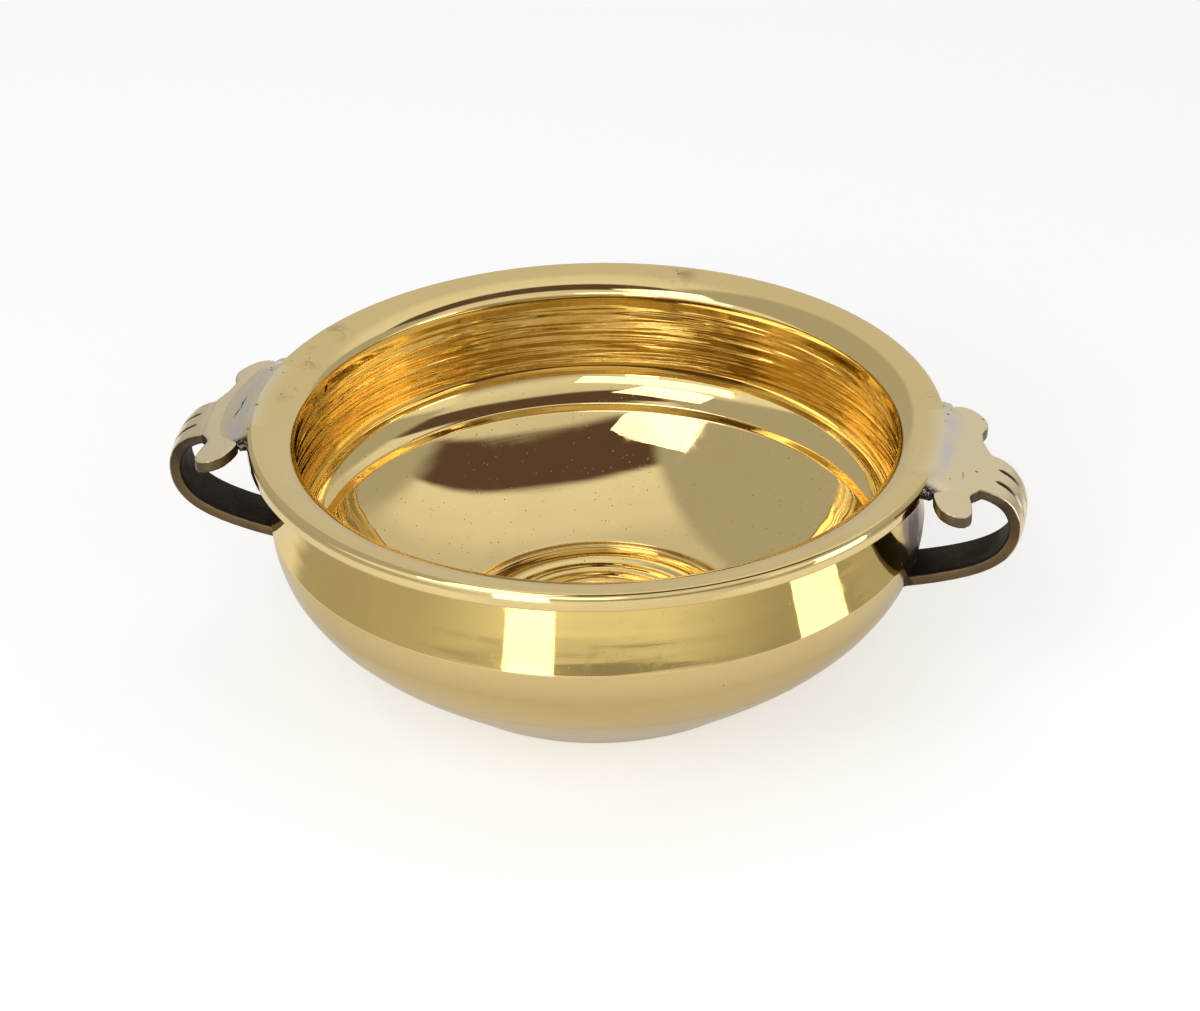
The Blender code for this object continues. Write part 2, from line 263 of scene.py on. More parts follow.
def grid_faces(rows: int, columns: int) -> np.ndarray:
    """Quads of a grid of vertices that are numbered row by row, its last column joined to its first.

    Args:
        rows: Number of rows.
        columns: Number of columns.

    Returns:
        One row of four vertex numbers for each quad.
    """
    i, j = np.meshgrid(np.arange(rows - 1), np.arange(columns), indexing="ij")
    k = (j + 1) % columns
    return np.stack([i * columns + j, (i + 1) * columns + j, (i + 1) * columns + k, i * columns + k],
                    -1).reshape(-1, 4)


def tube_faces(rows: int, columns: int) -> list[np.ndarray]:
    """Quads of a grid that closes on itself, and one face across each of its ends."""
    ring = np.arange(columns)[None]
    return [grid_faces(rows, columns), ring, (rows - 1) * columns + ring[:, ::-1]]


def dome_faces(rows: int, columns: int) -> list[np.ndarray]:
    """Quads of a grid that closes on itself, and triangles from its ends to two poles that follow it.

    Args:
        rows: Number of rows.
        columns: Number of columns.

    Returns:
        The quads, the first row's triangles and the last row's.
    """
    first, total = np.arange(columns), rows * columns
    following, last = (first + 1) % columns, total - columns
    start = np.stack([np.full(columns, total), first, following], 1)
    end = np.stack([last + first, np.full(columns, total + 1), last + following], 1)
    return [grid_faces(rows, columns), start, end]


def flipped(faces: list[np.ndarray]) -> list[np.ndarray]:
    """The same faces, turned to point the other way."""
    return [block[:, ::-1] for block in faces]


def per_vertex(items: bpy.types.bpy_prop_collection, key: str) -> np.ndarray:
    """Read three numbers for each vertex from one of a mesh's lists.

    Args:
        items: The list.
        key: Which property of its items to read.

    Returns:
        One row for each vertex.
    """
    values = np.empty(len(items) * 3, np.float32)
    items.foreach_get(key, values)
    return values.reshape(-1, 3).astype(float)


def store(mesh: bpy.types.Mesh, **marks: np.ndarray) -> None:
    """Keep numbers for each vertex as the mesh's own attributes, for the finish to read.

    Args:
        mesh: The mesh.
        **marks: One number for each vertex, by the attribute's name.
    """
    for name, values in marks.items():
        layer = mesh.attributes.new(name, "FLOAT", "POINT")
        layer.data.foreach_set("value", np.asarray(values, np.float32).ravel())


def add_piece(mesh: bpy.types.Mesh, node: str, material: bpy.types.Material) -> bpy.types.Object:
    """Put a mesh into the scene as the piece that stands for a CAD node.

    Args:
        mesh: The finished mesh.
        node: Name of the CAD node.
        material: The finish.

    Returns:
        The piece.
    """
    mesh.materials.clear()
    mesh.materials.append(material)
    piece = bpy.data.objects.new(node + "_skin", mesh)
    bpy.context.scene.collection.objects.link(piece)
    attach(piece, BODY)
    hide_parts(node)
    LOG.info("%s: %d faces", piece.name, len(mesh.polygons))
    return piece


# Shader nodes


@dataclass(frozen=True, eq=False)
class Value:
    """A node's output, which changes over the surface; its sums, differences and products are Math nodes."""

    nodes: "Nodes"
    socket: bpy.types.NodeSocket

    def __add__(self, other: "Value | float") -> "Value":
        """The sum."""
        return self.nodes.calc("ADD", self, other)

    def __sub__(self, other: "Value | float") -> "Value":
        """The difference."""
        return self.nodes.calc("SUBTRACT", self, other)

    def __rsub__(self, other: float) -> "Value":
        """What is left of a number."""
        return self.nodes.calc("SUBTRACT", other, self)

    def __mul__(self, other: "Value | float") -> "Value":
        """The product."""
        return self.nodes.calc("MULTIPLY", self, other)

    def max(self, other: "Value") -> "Value":
        """The larger of the two."""
        return self.nodes.calc("MAXIMUM", self, other)

    def ramp(self, low: "Value | float", high: "Value | float", to: Pair = (0.0, 1.0)) -> "Value":
        """The value taken smoothly from the range low to high into another range."""
        ends = {"Value": self, "From Min": low, "From Max": high, "To Min": to[0], "To Max": to[1]}
        return self.nodes.out("MapRange", ends, "Result", interpolation_type="SMOOTHSTEP")


class Nodes:
    """A node tree, with short ways to add to it."""

    def __init__(self, tree: bpy.types.NodeTree) -> None:
        """Keep the tree."""
        self.tree = tree

    def feed(self, socket: bpy.types.NodeSocket, value: Value | bpy.types.NodeSocket | float | tuple) -> None:
        """Link an input to a value or an output, or set it to a constant.

        Args:
            socket: The input.
            value: What feeds it.
        """
        value = value.socket if isinstance(value, Value) else value
        if isinstance(value, bpy.types.NodeSocket):
            self.tree.links.new(value, socket)
        else:
            socket.default_value = value

    def add(self, kind: str, inputs: dict | None = None, **settings: object) -> bpy.types.Node:
        """Add a node.

        Args:
            kind: The node's type, without its prefix.
            inputs: For each input's name or number, a constant, a value or the output that feeds it.
            **settings: Values of the node's own properties.

        Returns:
            The node.
        """
        node = self.tree.nodes.new("ShaderNode" + kind)
        for name, setting in settings.items():
            setattr(node, name, setting)
        for key, value in (inputs or {}).items():
            self.feed(node.inputs[key], value)
        return node

    def out(self, kind: str, inputs: dict | None = None, output: str | int = 0, **settings: object) -> Value:
        """Add a node and take one of its outputs."""
        return Value(self, self.add(kind, inputs, **settings).outputs[output])

    def calc(self, operation: str, *values: Value | float) -> Value:
        """The result of a Math node."""
        return self.out("Math", dict(enumerate(values)), operation=operation)

    def split(self, kind: str, whole: Value | bpy.types.NodeSocket) -> list[Value]:
        """The three numbers of a vector or a colour, by a node of that type."""
        return [Value(self, socket) for socket in self.add(kind, {0: whole}).outputs]

    def layered(self, base: Colour | Value, *coats: tuple[Value, Colour | Value]) -> Value:
        """A colour with others laid over it in turn, with a Mix node for each.

        Args:
            base: The first colour.
            *coats: The share and the colour of each further one.

        Returns:
            The mixed colour.
        """
        tint = base
        for share, coat in coats:
            pair = [colour if isinstance(colour, Value) else (*colour, 1.0) for colour in (tint, coat)]
            tint = self.out("Mix", {0: share, 6: pair[0], 7: pair[1]}, 2, data_type="RGBA")
        return tint

    def read(self, *names: str) -> list[Value]:
        """The piece's own attributes of those names."""
        return [self.out("Attribute", None, "Fac", attribute_name=name) for name in names]


def new_group(name: str, inputs: dict[str, float | None],
              output: str) -> tuple[Nodes, dict[str, Value], bpy.types.NodeSocket]:
    """Start a shader node group.

    Args:
        name: The group's name.
        inputs: Each input's first value, or None for a vector.
        output: Name of its output, a number.

    Returns:
        The group's nodes, its inputs as values by name, and the socket of its output.
    """
    tree = bpy.data.node_groups.new(name, "ShaderNodeTree")
    for key, value in inputs.items():
        kind = "NodeSocketVector" if value is None else "NodeSocketFloat"
        socket = tree.interface.new_socket(key, in_out="INPUT", socket_type=kind)
        if value is not None:
            socket.default_value = value
    tree.interface.new_socket(output, in_out="OUTPUT", socket_type="NodeSocketFloat")
    nodes, entry = Nodes(tree), tree.nodes.new("NodeGroupInput")
    given = {key: Value(nodes, entry.outputs[key]) for key in inputs}
    return nodes, given, tree.nodes.new("NodeGroupOutput").inputs[output]


class Effects:
    """The effects that several finishes share, each a node group that is built once."""

    def __init__(self) -> None:
        """Build the groups."""
        self.groups = {"Pits": self._pits(), "Tarnish": self._tarnish(),
                       "Turning Lines": self._turning_lines(), "Hairlines": self._hairlines()}

    @staticmethod
    def _pits() -> bpy.types.NodeTree:
        """Small dark pits: round spots about some of the cells of a Voronoi pattern, each of its own size.

        Returns:
            The group.
        """
        inputs = {"Vector": None, "Scale": 400.0, "Size": 0.15, "Density": 0.3}
        nodes, given, leave = new_group("Pits", inputs, "Mask")
        cells = nodes.add("TexVoronoi", {"Vector": given["Vector"], "Scale": given["Scale"]})
        chance, growth, _ = nodes.split("SeparateColor", cells.outputs["Color"])
        kept = nodes.calc("LESS_THAN", chance, given["Density"])
        size = given["Size"] * (growth + 0.25)
        spot = nodes.out("MapRange", {"Value": cells.outputs["Distance"], "From Min": size, "From Max": 0.0})
        nodes.feed(leave, nodes.calc("MINIMUM", spot * 2.5, 1.0) * kept)
        return nodes.tree

    @staticmethod
    def _tarnish() -> bpy.types.NodeTree:
        """Soft blotches: noise, taken smoothly from a low to a high level.

        Returns:
            The group.
        """
        inputs = {"Vector": None, "Scale": 40.0, "Low": 0.45, "High": 0.7}
        nodes, given, leave = new_group("Tarnish", inputs, "Mask")
        noise = nodes.out("TexNoise", {"Vector": given["Vector"], "Scale": given["Scale"], "Detail": 5.0,
                                       "Roughness": 0.6, "Distortion": 0.4}, "Fac")
        nodes.feed(leave, noise.ramp(given["Low"], given["High"]))
        return nodes.tree

    @staticmethod
    def _turning_lines() -> bpy.types.NodeTree:
        """Fine lines round the axis: noise that is long round it and short along the profile.

        Returns:
            The group.
        """
        inputs = {"Vector": None, "Along": 0.0, "Pitch": 0.5, "Run": 25.0}
        nodes, given, leave = new_group("Turning Lines", inputs, "Height")
        x, y, _ = nodes.split("SeparateXYZ", given["Vector"])
        row = nodes.calc("DIVIDE", given["Along"], given["Pitch"])
        spot = nodes.out("CombineXYZ", {0: x * given["Run"], 1: y * given["Run"], 2: row})
        noise = {"Vector": spot, "Scale": 1.0, "Detail": 2.5, "Roughness": 0.55}
        nodes.feed(leave, nodes.out("TexNoise", noise, "Fac"))
        return nodes.tree

    @staticmethod
    def _hairlines() -> bpy.types.NodeTree:
        """Short straight scratches: in each Voronoi cell the points near one plane through its middle.

        The plane's direction is the cell's own random colour, and the line fades away from the middle.

        Returns:
            The group.
        """
        inputs = {"Vector": None, "Scale": 60.0, "Width": 0.01, "Density": 0.3}
        nodes, given, leave = new_group("Hairlines", inputs, "Mask")

        def vector(operation: str, feeds: dict, output: str | int = 0) -> Value:
            """The result of a Vector Math node."""
            return nodes.out("VectorMath", feeds, output, operation=operation)

        cells = nodes.add("TexVoronoi", {"Vector": given["Vector"], "Scale": given["Scale"]})
        scaled = vector("SCALE", {0: given["Vector"], "Scale": given["Scale"]})
        middle = vector("SCALE", {0: cells.outputs["Position"], "Scale": given["Scale"]})
        offset = vector("SUBTRACT", {0: scaled, 1: middle})
        lean = vector("SUBTRACT", {0: cells.outputs["Color"], 1: (0.5, 0.5, 0.5)})
        away = vector("DOT_PRODUCT", {0: offset, 1: vector("NORMALIZE", {0: lean})}, "Value")
        near = {"Value": nodes.calc("ABSOLUTE", away), "From Min": given["Width"], "From Max": 0.0}
        reach = {"Value": cells.outputs["Distance"], "From Min": 0.5, "From Max": 0.15}
        chance = nodes.split("SeparateColor", cells.outputs["Color"])[2]
        kept = nodes.calc("LESS_THAN", chance, given["Density"])
        nodes.feed(leave, nodes.out("MapRange", near) * nodes.out("MapRange", reach) * kept)
        return nodes.tree


class Surface(Nodes):
    """A material's nodes, with its shader, the piece's own coordinates in metres and the shared effects."""

    def __init__(self, name: str, effects: Effects | None = None) -> None:
        """Start a material.

        Args:
            name: The material's name.
            effects: The shared node groups, where it uses them.
        """
        self.material = bpy.data.materials.new(name)
        self.material.use_nodes = True
        super().__init__(self.material.node_tree)
        self.effects = effects
        self.shader = self.tree.nodes["Principled BSDF"]
        self.place = self.out("TexCoord", output="Object")

    def effect(self, name: str, **inputs: Value | float) -> Value:
        """Lay a shared effect over the piece."""
        return self.out("Group", {"Vector": self.place, **inputs}, node_tree=self.effects.groups[name])

    def metal(self, tint: Value, dull: Value, height: Value, depth: float) -> bpy.types.Material:
        """Finish a bare metal.

        Args:
            tint: Its colour.
            dull: Its roughness.
            height: Its relief, 0 to 1.
            depth: What a relief of 1 is worth, in millimetres.

        Returns:
            The material.
        """
        relief = self.out("Bump", {"Height": height, "Distance": depth * MM, "Strength": 1.0}, "Normal")
        feeds = {"Base Color": tint, "Roughness": dull, "Metallic": 1.0, "Normal": relief}
        for name, value in feeds.items():
            self.feed(self.shader.inputs[name], value)
        return self.material


# Finishes


@dataclass(frozen=True)
class PolishedBrass:
    """The bowl's finish: bright brass with turning lines, specks, hairlines, a little brown bloom and painted
    reflection tints.
    """

    colour: Colour = (0.80, 0.62, 0.28)
    turned: Colour = (0.88, 0.72, 0.40)
    # painted reflection: a deeper gold on the shoulder for the warm surroundings it shows
    shoulder_reflection: Colour = (0.80, 0.59, 0.20)
    # also the colour of the painted reflection bands on the belly
    bloom: Colour = (0.66, 0.44, 0.18)
    # the dirt's film, and the paler edge of the painted reflection and shade of each strap
    patina_and_strap_reflection: Colour = (0.30, 0.20, 0.115)
    # painted reflection and shade of each strap: the dark middle of its patch on the belly
    stain: Colour = (0.10, 0.065, 0.035)
    speck: Colour = (0.05, 0.035, 0.02)
    gloss: Pair = (0.045, 0.13)
    line_depth: float = 0.08

    def material(self, effects: Effects) -> bpy.types.Material:
        """Make the material.

        Args:
            effects: The shared node groups.

        Returns:
            The material, for a mesh with the attributes along, wall, dish, shoulder, grime, the painted
            reflection bands and the painted reflection of the straps.
        """
        surface = Surface(Slot.POLISHED.value, effects)
        along, wall, dish, shoulder = surface.read("along", "wall", "dish", "shoulder")
        reflection_bands, stain, grime = surface.read("reflection_bands", "stain", "grime")
        bloom = surface.effect("Tarnish", Scale=26.0, Low=0.48, High=0.75)
        smudge = surface.effect("Tarnish", Scale=95.0, Low=0.42, High=0.72)
        specks = surface.effect("Pits", Scale=880.0, Size=0.17, Density=0.32)
        grit = surface.effect("Pits", Scale=190.0, Size=0.06, Density=0.05)
        soot = surface.effect("Pits", Scale=420.0, Size=0.22, Density=0.30)
        hairs = surface.effect("Hairlines", Scale=75.0, Width=0.006, Density=0.35)
        lines = surface.effect("Turning Lines", Along=along, Pitch=1.15, Run=42.0)
        # painted reflection and shade of each strap on the belly, made patchy
        brown = stain * smudge.ramp(0.0, 0.8, (0.75, 1.0))
        film = grime * smudge.ramp(0.15, 0.9, (0.0, 0.8))
        dirt = specks * dish.ramp(0.0, 1.0, (0.2, 0.9)).max(grime)
        dirt = dirt.max(grit * 0.8).max(soot * grime)
        # painted reflection: the shoulder's deeper gold, the belly's darker bands and each strap's dark patch
        tint = surface.layered(self.colour, (wall, self.turned), (shoulder, self.shoulder_reflection),
                               (reflection_bands * 0.35, self.bloom), (bloom * 0.22, self.bloom),
                               (hairs * 0.35, self.bloom), (brown.ramp(0.0, 0.55).max(film), self.patina_and_strap_reflection),
                               (brown.ramp(0.5, 1.0), self.stain), (dirt, self.speck))
        dull = smudge.ramp(0.0, 1.0, self.gloss) + wall * 0.01 + brown * 0.30 - dish * 0.03 + dirt * 0.4
        relief = lines * wall.ramp(0.0, 1.0, (0.035, 1.0)) - hairs * 0.05 - dirt * 0.3
        return surface.metal(tint, dull, relief, self.line_depth)


@dataclass(frozen=True)
class CastBrass:
    """The handles' finish: ground brass on top, brown edges and a dark cast skin underneath, both partly
    painted shade.
    """

    colour: Colour = (0.85, 0.71, 0.445)
    # brown of the sides, partly their own and partly painted shade; also the hairlines
    edge: Colour = (0.040, 0.028, 0.018)
    # lighter brown of the sides lower down the strap and on the ear, partly painted shade
    low_edge: Colour = (0.16, 0.105, 0.052)
    # the underside's dark cast skin, deepened as painted shade; also the pits
    skin: Colour = (0.045, 0.036, 0.028)
    gloss: Pair = (0.22, 0.34)
    depth: float = 0.04

    def material(self, effects: Effects) -> bpy.types.Material:
        """Make the material.

        Args:
            effects: The shared node groups.

        Returns:
            The material, for a mesh with the attributes facing, strap, groove, oxide and down.
        """
        surface = Surface(Slot.CAST.value, effects)
        facing, strap, groove, oxide, down = surface.read("facing", "strap", "groove", "oxide", "down")
        blotch = surface.effect("Tarnish", Scale=120.0, Low=0.35, High=0.7)
        grain = surface.effect("Tarnish", Scale=900.0, Low=0.3, High=0.7)
        pits = surface.effect("Pits", Scale=330.0, Size=0.14, Density=0.10)
        hairs = surface.effect("Hairlines", Scale=90.0, Width=0.012, Density=0.5)
        # painted shade by which way a face turns: the sides go brown and the underside near black, partly
        # their own cast skin
        rough = facing + (blotch - 0.5) * 0.22
        edge = (1.0 - rough.ramp(0.35, 0.8)) * strap.ramp(0.0, 1.0, (0.93, 0.98))
        dark = (1.0 - rough.ramp(-0.62, -0.3)).max(groove).max(oxide)
        # the sides' colour, partly painted shade, lighter lower down the strap
        edge_colour_and_shade = surface.layered(self.edge, (blotch * 0.35 + down, self.low_edge))
        tint = surface.layered(self.colour, (hairs * 0.25, self.edge), (edge, edge_colour_and_shade), (dark, self.skin),
                               (pits * 0.85, self.skin))
        dull = blotch.ramp(0.0, 1.0, self.gloss) + edge * 0.12 + dark * 0.25
        relief = grain * dark.ramp(0.0, 1.0, (0.012, 0.8)) + grain * (edge * 0.35) - pits * 0.7
        return surface.metal(tint, dull, relief, self.depth)


@dataclass(frozen=True)
class BrazeFiller:
    """The rim's filler: a pitted grey band, ground flush, that fades into the rim's brass and the ear's."""

    colour: Colour = (0.70, 0.65, 0.64)
    rim: Colour = PolishedBrass.colour
    ear: Colour = CastBrass.colour
    pit: Colour = (0.03, 0.025, 0.02)
    gloss: Pair = (0.24, 0.34)
    rim_gloss: float = 0.3
    depth: float = 0.03

    def material(self, effects: Effects) -> bpy.types.Material:
        """Make the material.

        Args:
            effects: The shared node groups.

        Returns:
            The material, for a mesh with the attributes inward, middle, burnt and crack.
        """
        surface = Surface(Slot.FILLER.value, effects)
        inward, middle, burnt, crack = surface.read("inward", "middle", "burnt", "crack")
        blotch = surface.effect("Tarnish", Scale=130.0, Low=0.35, High=0.68)
        pits = surface.effect("Pits", Scale=420.0, Size=0.22, Density=0.05)
        grain = surface.effect("Tarnish", Scale=1100.0, Low=0.3, High=0.75)
        band = middle * blotch.ramp(0.0, 1.0, (0.35, 0.95))
        dark = pits.max(crack).max(burnt * grain.ramp(0.0, 0.5, (0.6, 1.0)))
        tint = surface.layered(self.ear, (inward, self.rim), (band, self.colour), (dark, self.pit))
        dull = blotch.ramp(0.0, 1.0, self.gloss) * inward.ramp(0.0, 1.0, (1.0, self.rim_gloss)) + dark * 0.45
        return surface.metal(tint, dull, grain * 0.06 - pits, self.depth)


@dataclass(frozen=True)
class DarkFiller:
    """The filler under the strap's foot: left as brazed, dark and lumpy."""

    colour: Colour = (0.055, 0.042, 0.032)
    brown: Colour = (0.17, 0.105, 0.055)
    gloss: Pair = (0.35, 0.6)
    depth: float = 0.25

    def material(self, effects: Effects) -> bpy.types.Material:
        """Make the material.

        Args:
            effects: The shared node groups.

        Returns:
            The material.
        """
        surface = Surface(Slot.DARK.value, effects)
        blotch = surface.effect("Tarnish", Scale=300.0, Low=0.4, High=0.75)
        grain = surface.effect("Tarnish", Scale=900.0, Low=0.3, High=0.75)
        tint = surface.layered(self.colour, (blotch, self.brown))
        return surface.metal(tint, grain.ramp(0.0, 1.0, self.gloss), grain * 0.4 + blotch, self.depth)


@dataclass(frozen=True)
class PaleFloor:
    """The floor's finish: matt and pale, lifted to white for the eye but for the bowl's own shadow.

    Polished surfaces show that white too, in a pool about the bowl: it widens to the back, is weaker close
    to the bowl as a painted shadow of the bowl, and runs on in front as a softer wedge.
    """

    colour: Colour = (0.60, 0.60, 0.60)
    lift: float = 0.52
    heading: float = CAMERA_AZIMUTH
    near: Pair = (-0.23, -0.17)
    far: Pair = (1.6, 1.0)
    beside: Pair = (0.25, 0.20)
    spread: float = 0.22
    strip: float = 0.80
    strip_turn: Pair = (1.05, 0.25)
    # painted shadow of the bowl: the pool's white is weaker within this reach of its axis
    shade: Pair = (0.09, 0.26)
    shade_lift: float = 0.36

    def material(self) -> bpy.types.Material:
        """Make the material.

        The pool is worked out in the floor's own metres, turned to a fixed heading: smooth ramps of the
        distances ahead and aside, of the angle about the bowl's axis and of the distance from it.

        Returns:
            The material.
        """
        surface = Surface("pale_floor")
        constants = {"Base Color": (*self.colour, 1.0), "Roughness": 1.0, "Specular IOR Level": 0.0,
                     "Emission Color": (1.0, 1.0, 1.0, 1.0)}
        for name, value in constants.items():
            surface.feed(surface.shader.inputs[name], value)
        turned = surface.out("VectorRotate", {"Vector": surface.place, "Angle": -self.heading},
                             rotation_type="Z_AXIS")
        sideways, ahead, _ = surface.split("SeparateXYZ", turned)
        aside = surface.calc("ABSOLUTE", sideways)
        wedge = ahead * -self.spread + aside
        turn = surface.calc("ARCTAN2", aside, ahead * -1.0)
        pool = ahead.ramp(*self.near) * wedge.ramp(*self.beside)
        pool = pool.max(turn.ramp(*self.strip_turn, (0.0, self.strip))) * ahead.ramp(*self.far)
        away = surface.out("VectorMath", {0: surface.place}, "Value", operation="LENGTH")
        # painted shadow: less white close to the bowl in what polished surfaces show
        pool = pool * away.ramp(*self.shade, (self.shade_lift, 1.0))
        rays = surface.add("LightPath")
        seen, glossy, through_glass = (
            Value(surface, rays.outputs[f"Is {kind} Ray"]) for kind in ("Camera", "Glossy", "Transmission"))
        shown = seen.max(glossy.max(through_glass) * pool)
        surface.feed(surface.shader.inputs["Emission Strength"], shown * self.lift)
        return surface.material


# Pieces


@dataclass
class Bowl:
    """The turned bowl: rim, neck, belly, foot and the stepped inside, in one casting."""

    rim_radius: float
    height: float
    foot_radius: float = 56.5

    # Rim: its slope, crown, upright band and inner lip
    rim_width: float = 13.6
    rim_rise: float = 6.0
    crown_inset: float = 2.0
    crown_drop: float = 2.7
    crown_round: Pair = (0.67, 0.5)
    crown_pull: float = 5.6
    band_height: float = 2.0
    band_round: float = 0.4
    lip_height: float = 1.2
    lip_undercut: float = 2.4
    lip_pull: float = 3.0

    # Outside: neck, belly and foot
    neck_radius: float = 88.9
    neck_drop: float = 1.5
    neck_lean: float = math.radians(10.0)
    neck_pull: float = 4.0
    belly_radius: float = 94.6
    belly_height: float = 47.5
    belly_lean: float = math.radians(17.5)
    belly_pull_up: float = 10.0
    belly_pull_down: float = 20.0
    foot_slope: float = math.radians(40.0)
    foot_run: float = 26.5
    foot_ring: float = 8.0
    foot_recess: float = 1.5

    # Inside: wall, cove, ledge, riser and dish
    wall: float = 5.0
    wall_top: float = 86.6
    wall_pull: Pair = (6.0, 10.0)
    wall_hollow: Pair = (-0.6, 0.9)
    cove_radius: float = 14.0
    cove_turn: float = math.radians(58.0)
    ledge_height: float = 34.3
    riser_height: float = 2.6
    riser_run: float = 0.7
    dish_fall: float = 12.1
    dish_run: float = 10.0
    dish_tail: float = 15.2
    dish_tail_rise: float = 4.2

    # Base recess, with the middle radius, width and rise of each turned ring
    recess_radius: float = 43.5
    recess_depth: float = 1.6
    recess_edge: float = 2.2
    recess_floor: float = 5.0
    rings: tuple[tuple[float, float, float], ...] = (
        (36.2, 4.4, 0.75), (29.2, 2.4, -0.35), (24.0, 1.8, 0.22), (17.0, 3.0, 0.16), (9.0, 2.4, -0.14))

    # Painted reflection on the belly: its level bands, and each strap's reflection and shade about its foot;
    # and the depth within which a point counts as on the skin
    reflection_band_waves: Pair = (13.0, 8.4)
    stain_height: float = 44.8
    stain_angle: float = math.radians(-5.7)
    stain_size: Pair = (17.0, 22.0)
    stain_fade: Pair = (0.30, 1.25)
    stain_below_band: float = 4.0
    skin: float = 1.0

    # Mesh
    rounding: float = 0.35
    segments: int = 180
    node: str = "bowl"
    profile: np.ndarray = field(init=False)
    owner: np.ndarray = field(init=False)

    # Dirty places: X, Y and reach of each
    DIRTY = ((-94.3, -0.4, 3.2), (-93.6, 8.0, 4.0), (-91.0, 22.0, 5.0), (-95.5, -16.0, 3.0),
             (-85.0, 41.0, 3.5), (94.5, 20.0, 3.0), (93.0, -26.0, 3.0), (10.0, 94.0, 4.0))

    # The profile's sections, in order, and how many rows of points each gets
    SECTIONS = ("floor", "edge", "dish", "riser", "cove", "wall", "undercut", "lip", "slope", "crown", "band",
                "round", "neck", "shoulder", "belly", "ring", "recess", "underside")
    ROWS = (118, 8, 52, 6, 24, 132, 6, 5, 30, 12, 5, 3, 5, 36, 44, 4, 3, 6)

    # Turning marks: sections, shortest and longest wave, slope in degrees and seed of each group
    MARKS = ((("wall",), (1.5, 6.0), 11.0, 3), (("cove", "riser"), (1.2, 5.0), 0.7, 5),
             (("floor",), (0.8, 4.0), 1.4, 7), (("dish",), (5.0, 18.0), 0.35, 11),
             (("slope", "crown"), (3.0, 9.0), 0.35, 13), (("shoulder",), (2.0, 8.0), 0.6, 17),
             (("belly",), (3.0, 12.0), 1.3, 19))

    def __post_init__(self) -> None:
        """Work out the profile once."""
        sections = self._sections()
        self.profile, self.owner = joined([sections[name] for name in self.SECTIONS], list(self.ROWS),
                                          self.rounding)

    @property
    def mouth_radius(self) -> float:
        """Radius of the mouth."""
        return self.rim_radius - self.rim_width

    @property
    def band_top(self) -> float:
        """Height where the rim's crown ends and its upright band starts."""
        return self.height - self.crown_drop

    def _outside(self) -> tuple[np.ndarray, np.ndarray]:
        """The shoulder and the belly, from the neck down to the foot, as two cubic curves.

        Returns:
            The (radius, height) points of both.
        """
        neck_z = self.band_top - self.band_height - self.band_round - self.neck_drop
        neck = np.array([self.neck_radius, neck_z])
        widest = np.array([self.belly_radius, self.belly_height])
        lean_out = self.neck_pull * np.array([math.sin(self.neck_lean), -math.cos(self.neck_lean)])
        lean_in = self.belly_pull_up * np.array([-math.sin(self.belly_lean), math.cos(self.belly_lean)])
        shoulder = bezier(neck, neck + lean_out, widest + lean_in, widest, 60)
        tail = (self.foot_radius + self.foot_run * math.cos(self.foot_slope),
                self.foot_run * math.sin(self.foot_slope))
        belly = bezier(widest, widest - (0.0, self.belly_pull_down), tail, (self.foot_radius, 0.0), 80)
        return shoulder, belly

    def outer_radius(self, height: np.ndarray) -> np.ndarray:
        """Radius of the outside at a height between the foot and the neck."""
        line = np.vstack(self._outside())[::-1]
        return np.interp(height, line[:, 1], line[:, 0])

    def top_height(self, radius: np.ndarray) -> np.ndarray:
        """Height of the rim's top at a radius."""
        top = self.profile[self._owned("slope", "crown")]
        return np.interp(radius, top[:, 0], top[:, 1])

    def _sections(self) -> dict[str, np.ndarray]:
        """The profile's sections as (radius, height) points, from the floor's middle to the underside's.

        The floor is flat but for its rings, each a parabola h(1 - x^2) across its width. The dish, the rim's
        slope and crown, the wall, the shoulder and the belly are cubic curves, and the cove is an arc.

        Returns:
            The points of each section, by its name.
        """
        floor_end = self.recess_radius - self.recess_edge
        radius = np.linspace(0.0, floor_end, 400)
        level = np.full_like(radius, self.recess_floor)
        for middle, width, rise in self.rings:
            level += rise * np.clip(1 - ((radius - middle) / (width / 2)) ** 2, 0.0, None)
        corner = (self.recess_radius, self.recess_floor)
        dish_foot = (self.recess_radius, self.recess_floor + self.recess_depth)
        lip_z = self.height - self.rim_rise
        wall_bottom = self.ledge_height + self.cove_radius * math.sin(self.cove_turn)
        wall_foot = (float(self.outer_radius(wall_bottom)) - self.wall, wall_bottom)
        wall_head = (self.wall_top, lip_z - self.lip_height - self.lip_undercut)
        wall = bezier(wall_foot, np.add(wall_foot, (self.wall_hollow[0], self.wall_pull[0])),
                      np.add(wall_head, (self.wall_hollow[1], -self.wall_pull[1])), wall_head, 80)
        cove = arc((wall[0, 0] - self.cove_radius, wall_bottom), self.cove_radius, -self.cove_turn, 0.0, 40)
        dish_top = cove[0] - (self.riser_run, self.riser_height)
        dish = bezier(dish_foot, np.add(dish_foot, (self.dish_tail, self.dish_tail_rise)),
                      dish_top - (self.dish_run, self.dish_fall), dish_top, 100)
        lip_foot, lip = (self.mouth_radius, lip_z - self.lip_height), (self.mouth_radius, lip_z)
        crown_in = self.rim_radius - self.crown_inset
        crown = (crown_in, self.height)
        slope = bezier(lip, np.add(lip, (0.0, self.lip_pull)),
                       np.subtract(crown, (self.crown_pull, 0.0)), crown, 60)
        edge = bezier(crown, (crown_in + self.crown_inset * self.crown_round[0], self.height),
                      (self.rim_radius, self.height - self.crown_drop * self.crown_round[1]),
                      (self.rim_radius, self.band_top), 30)
        band_end = (self.rim_radius, self.band_top - self.band_height)
        tuck = np.subtract(band_end, self.band_round)
        shoulder, belly = self._outside()
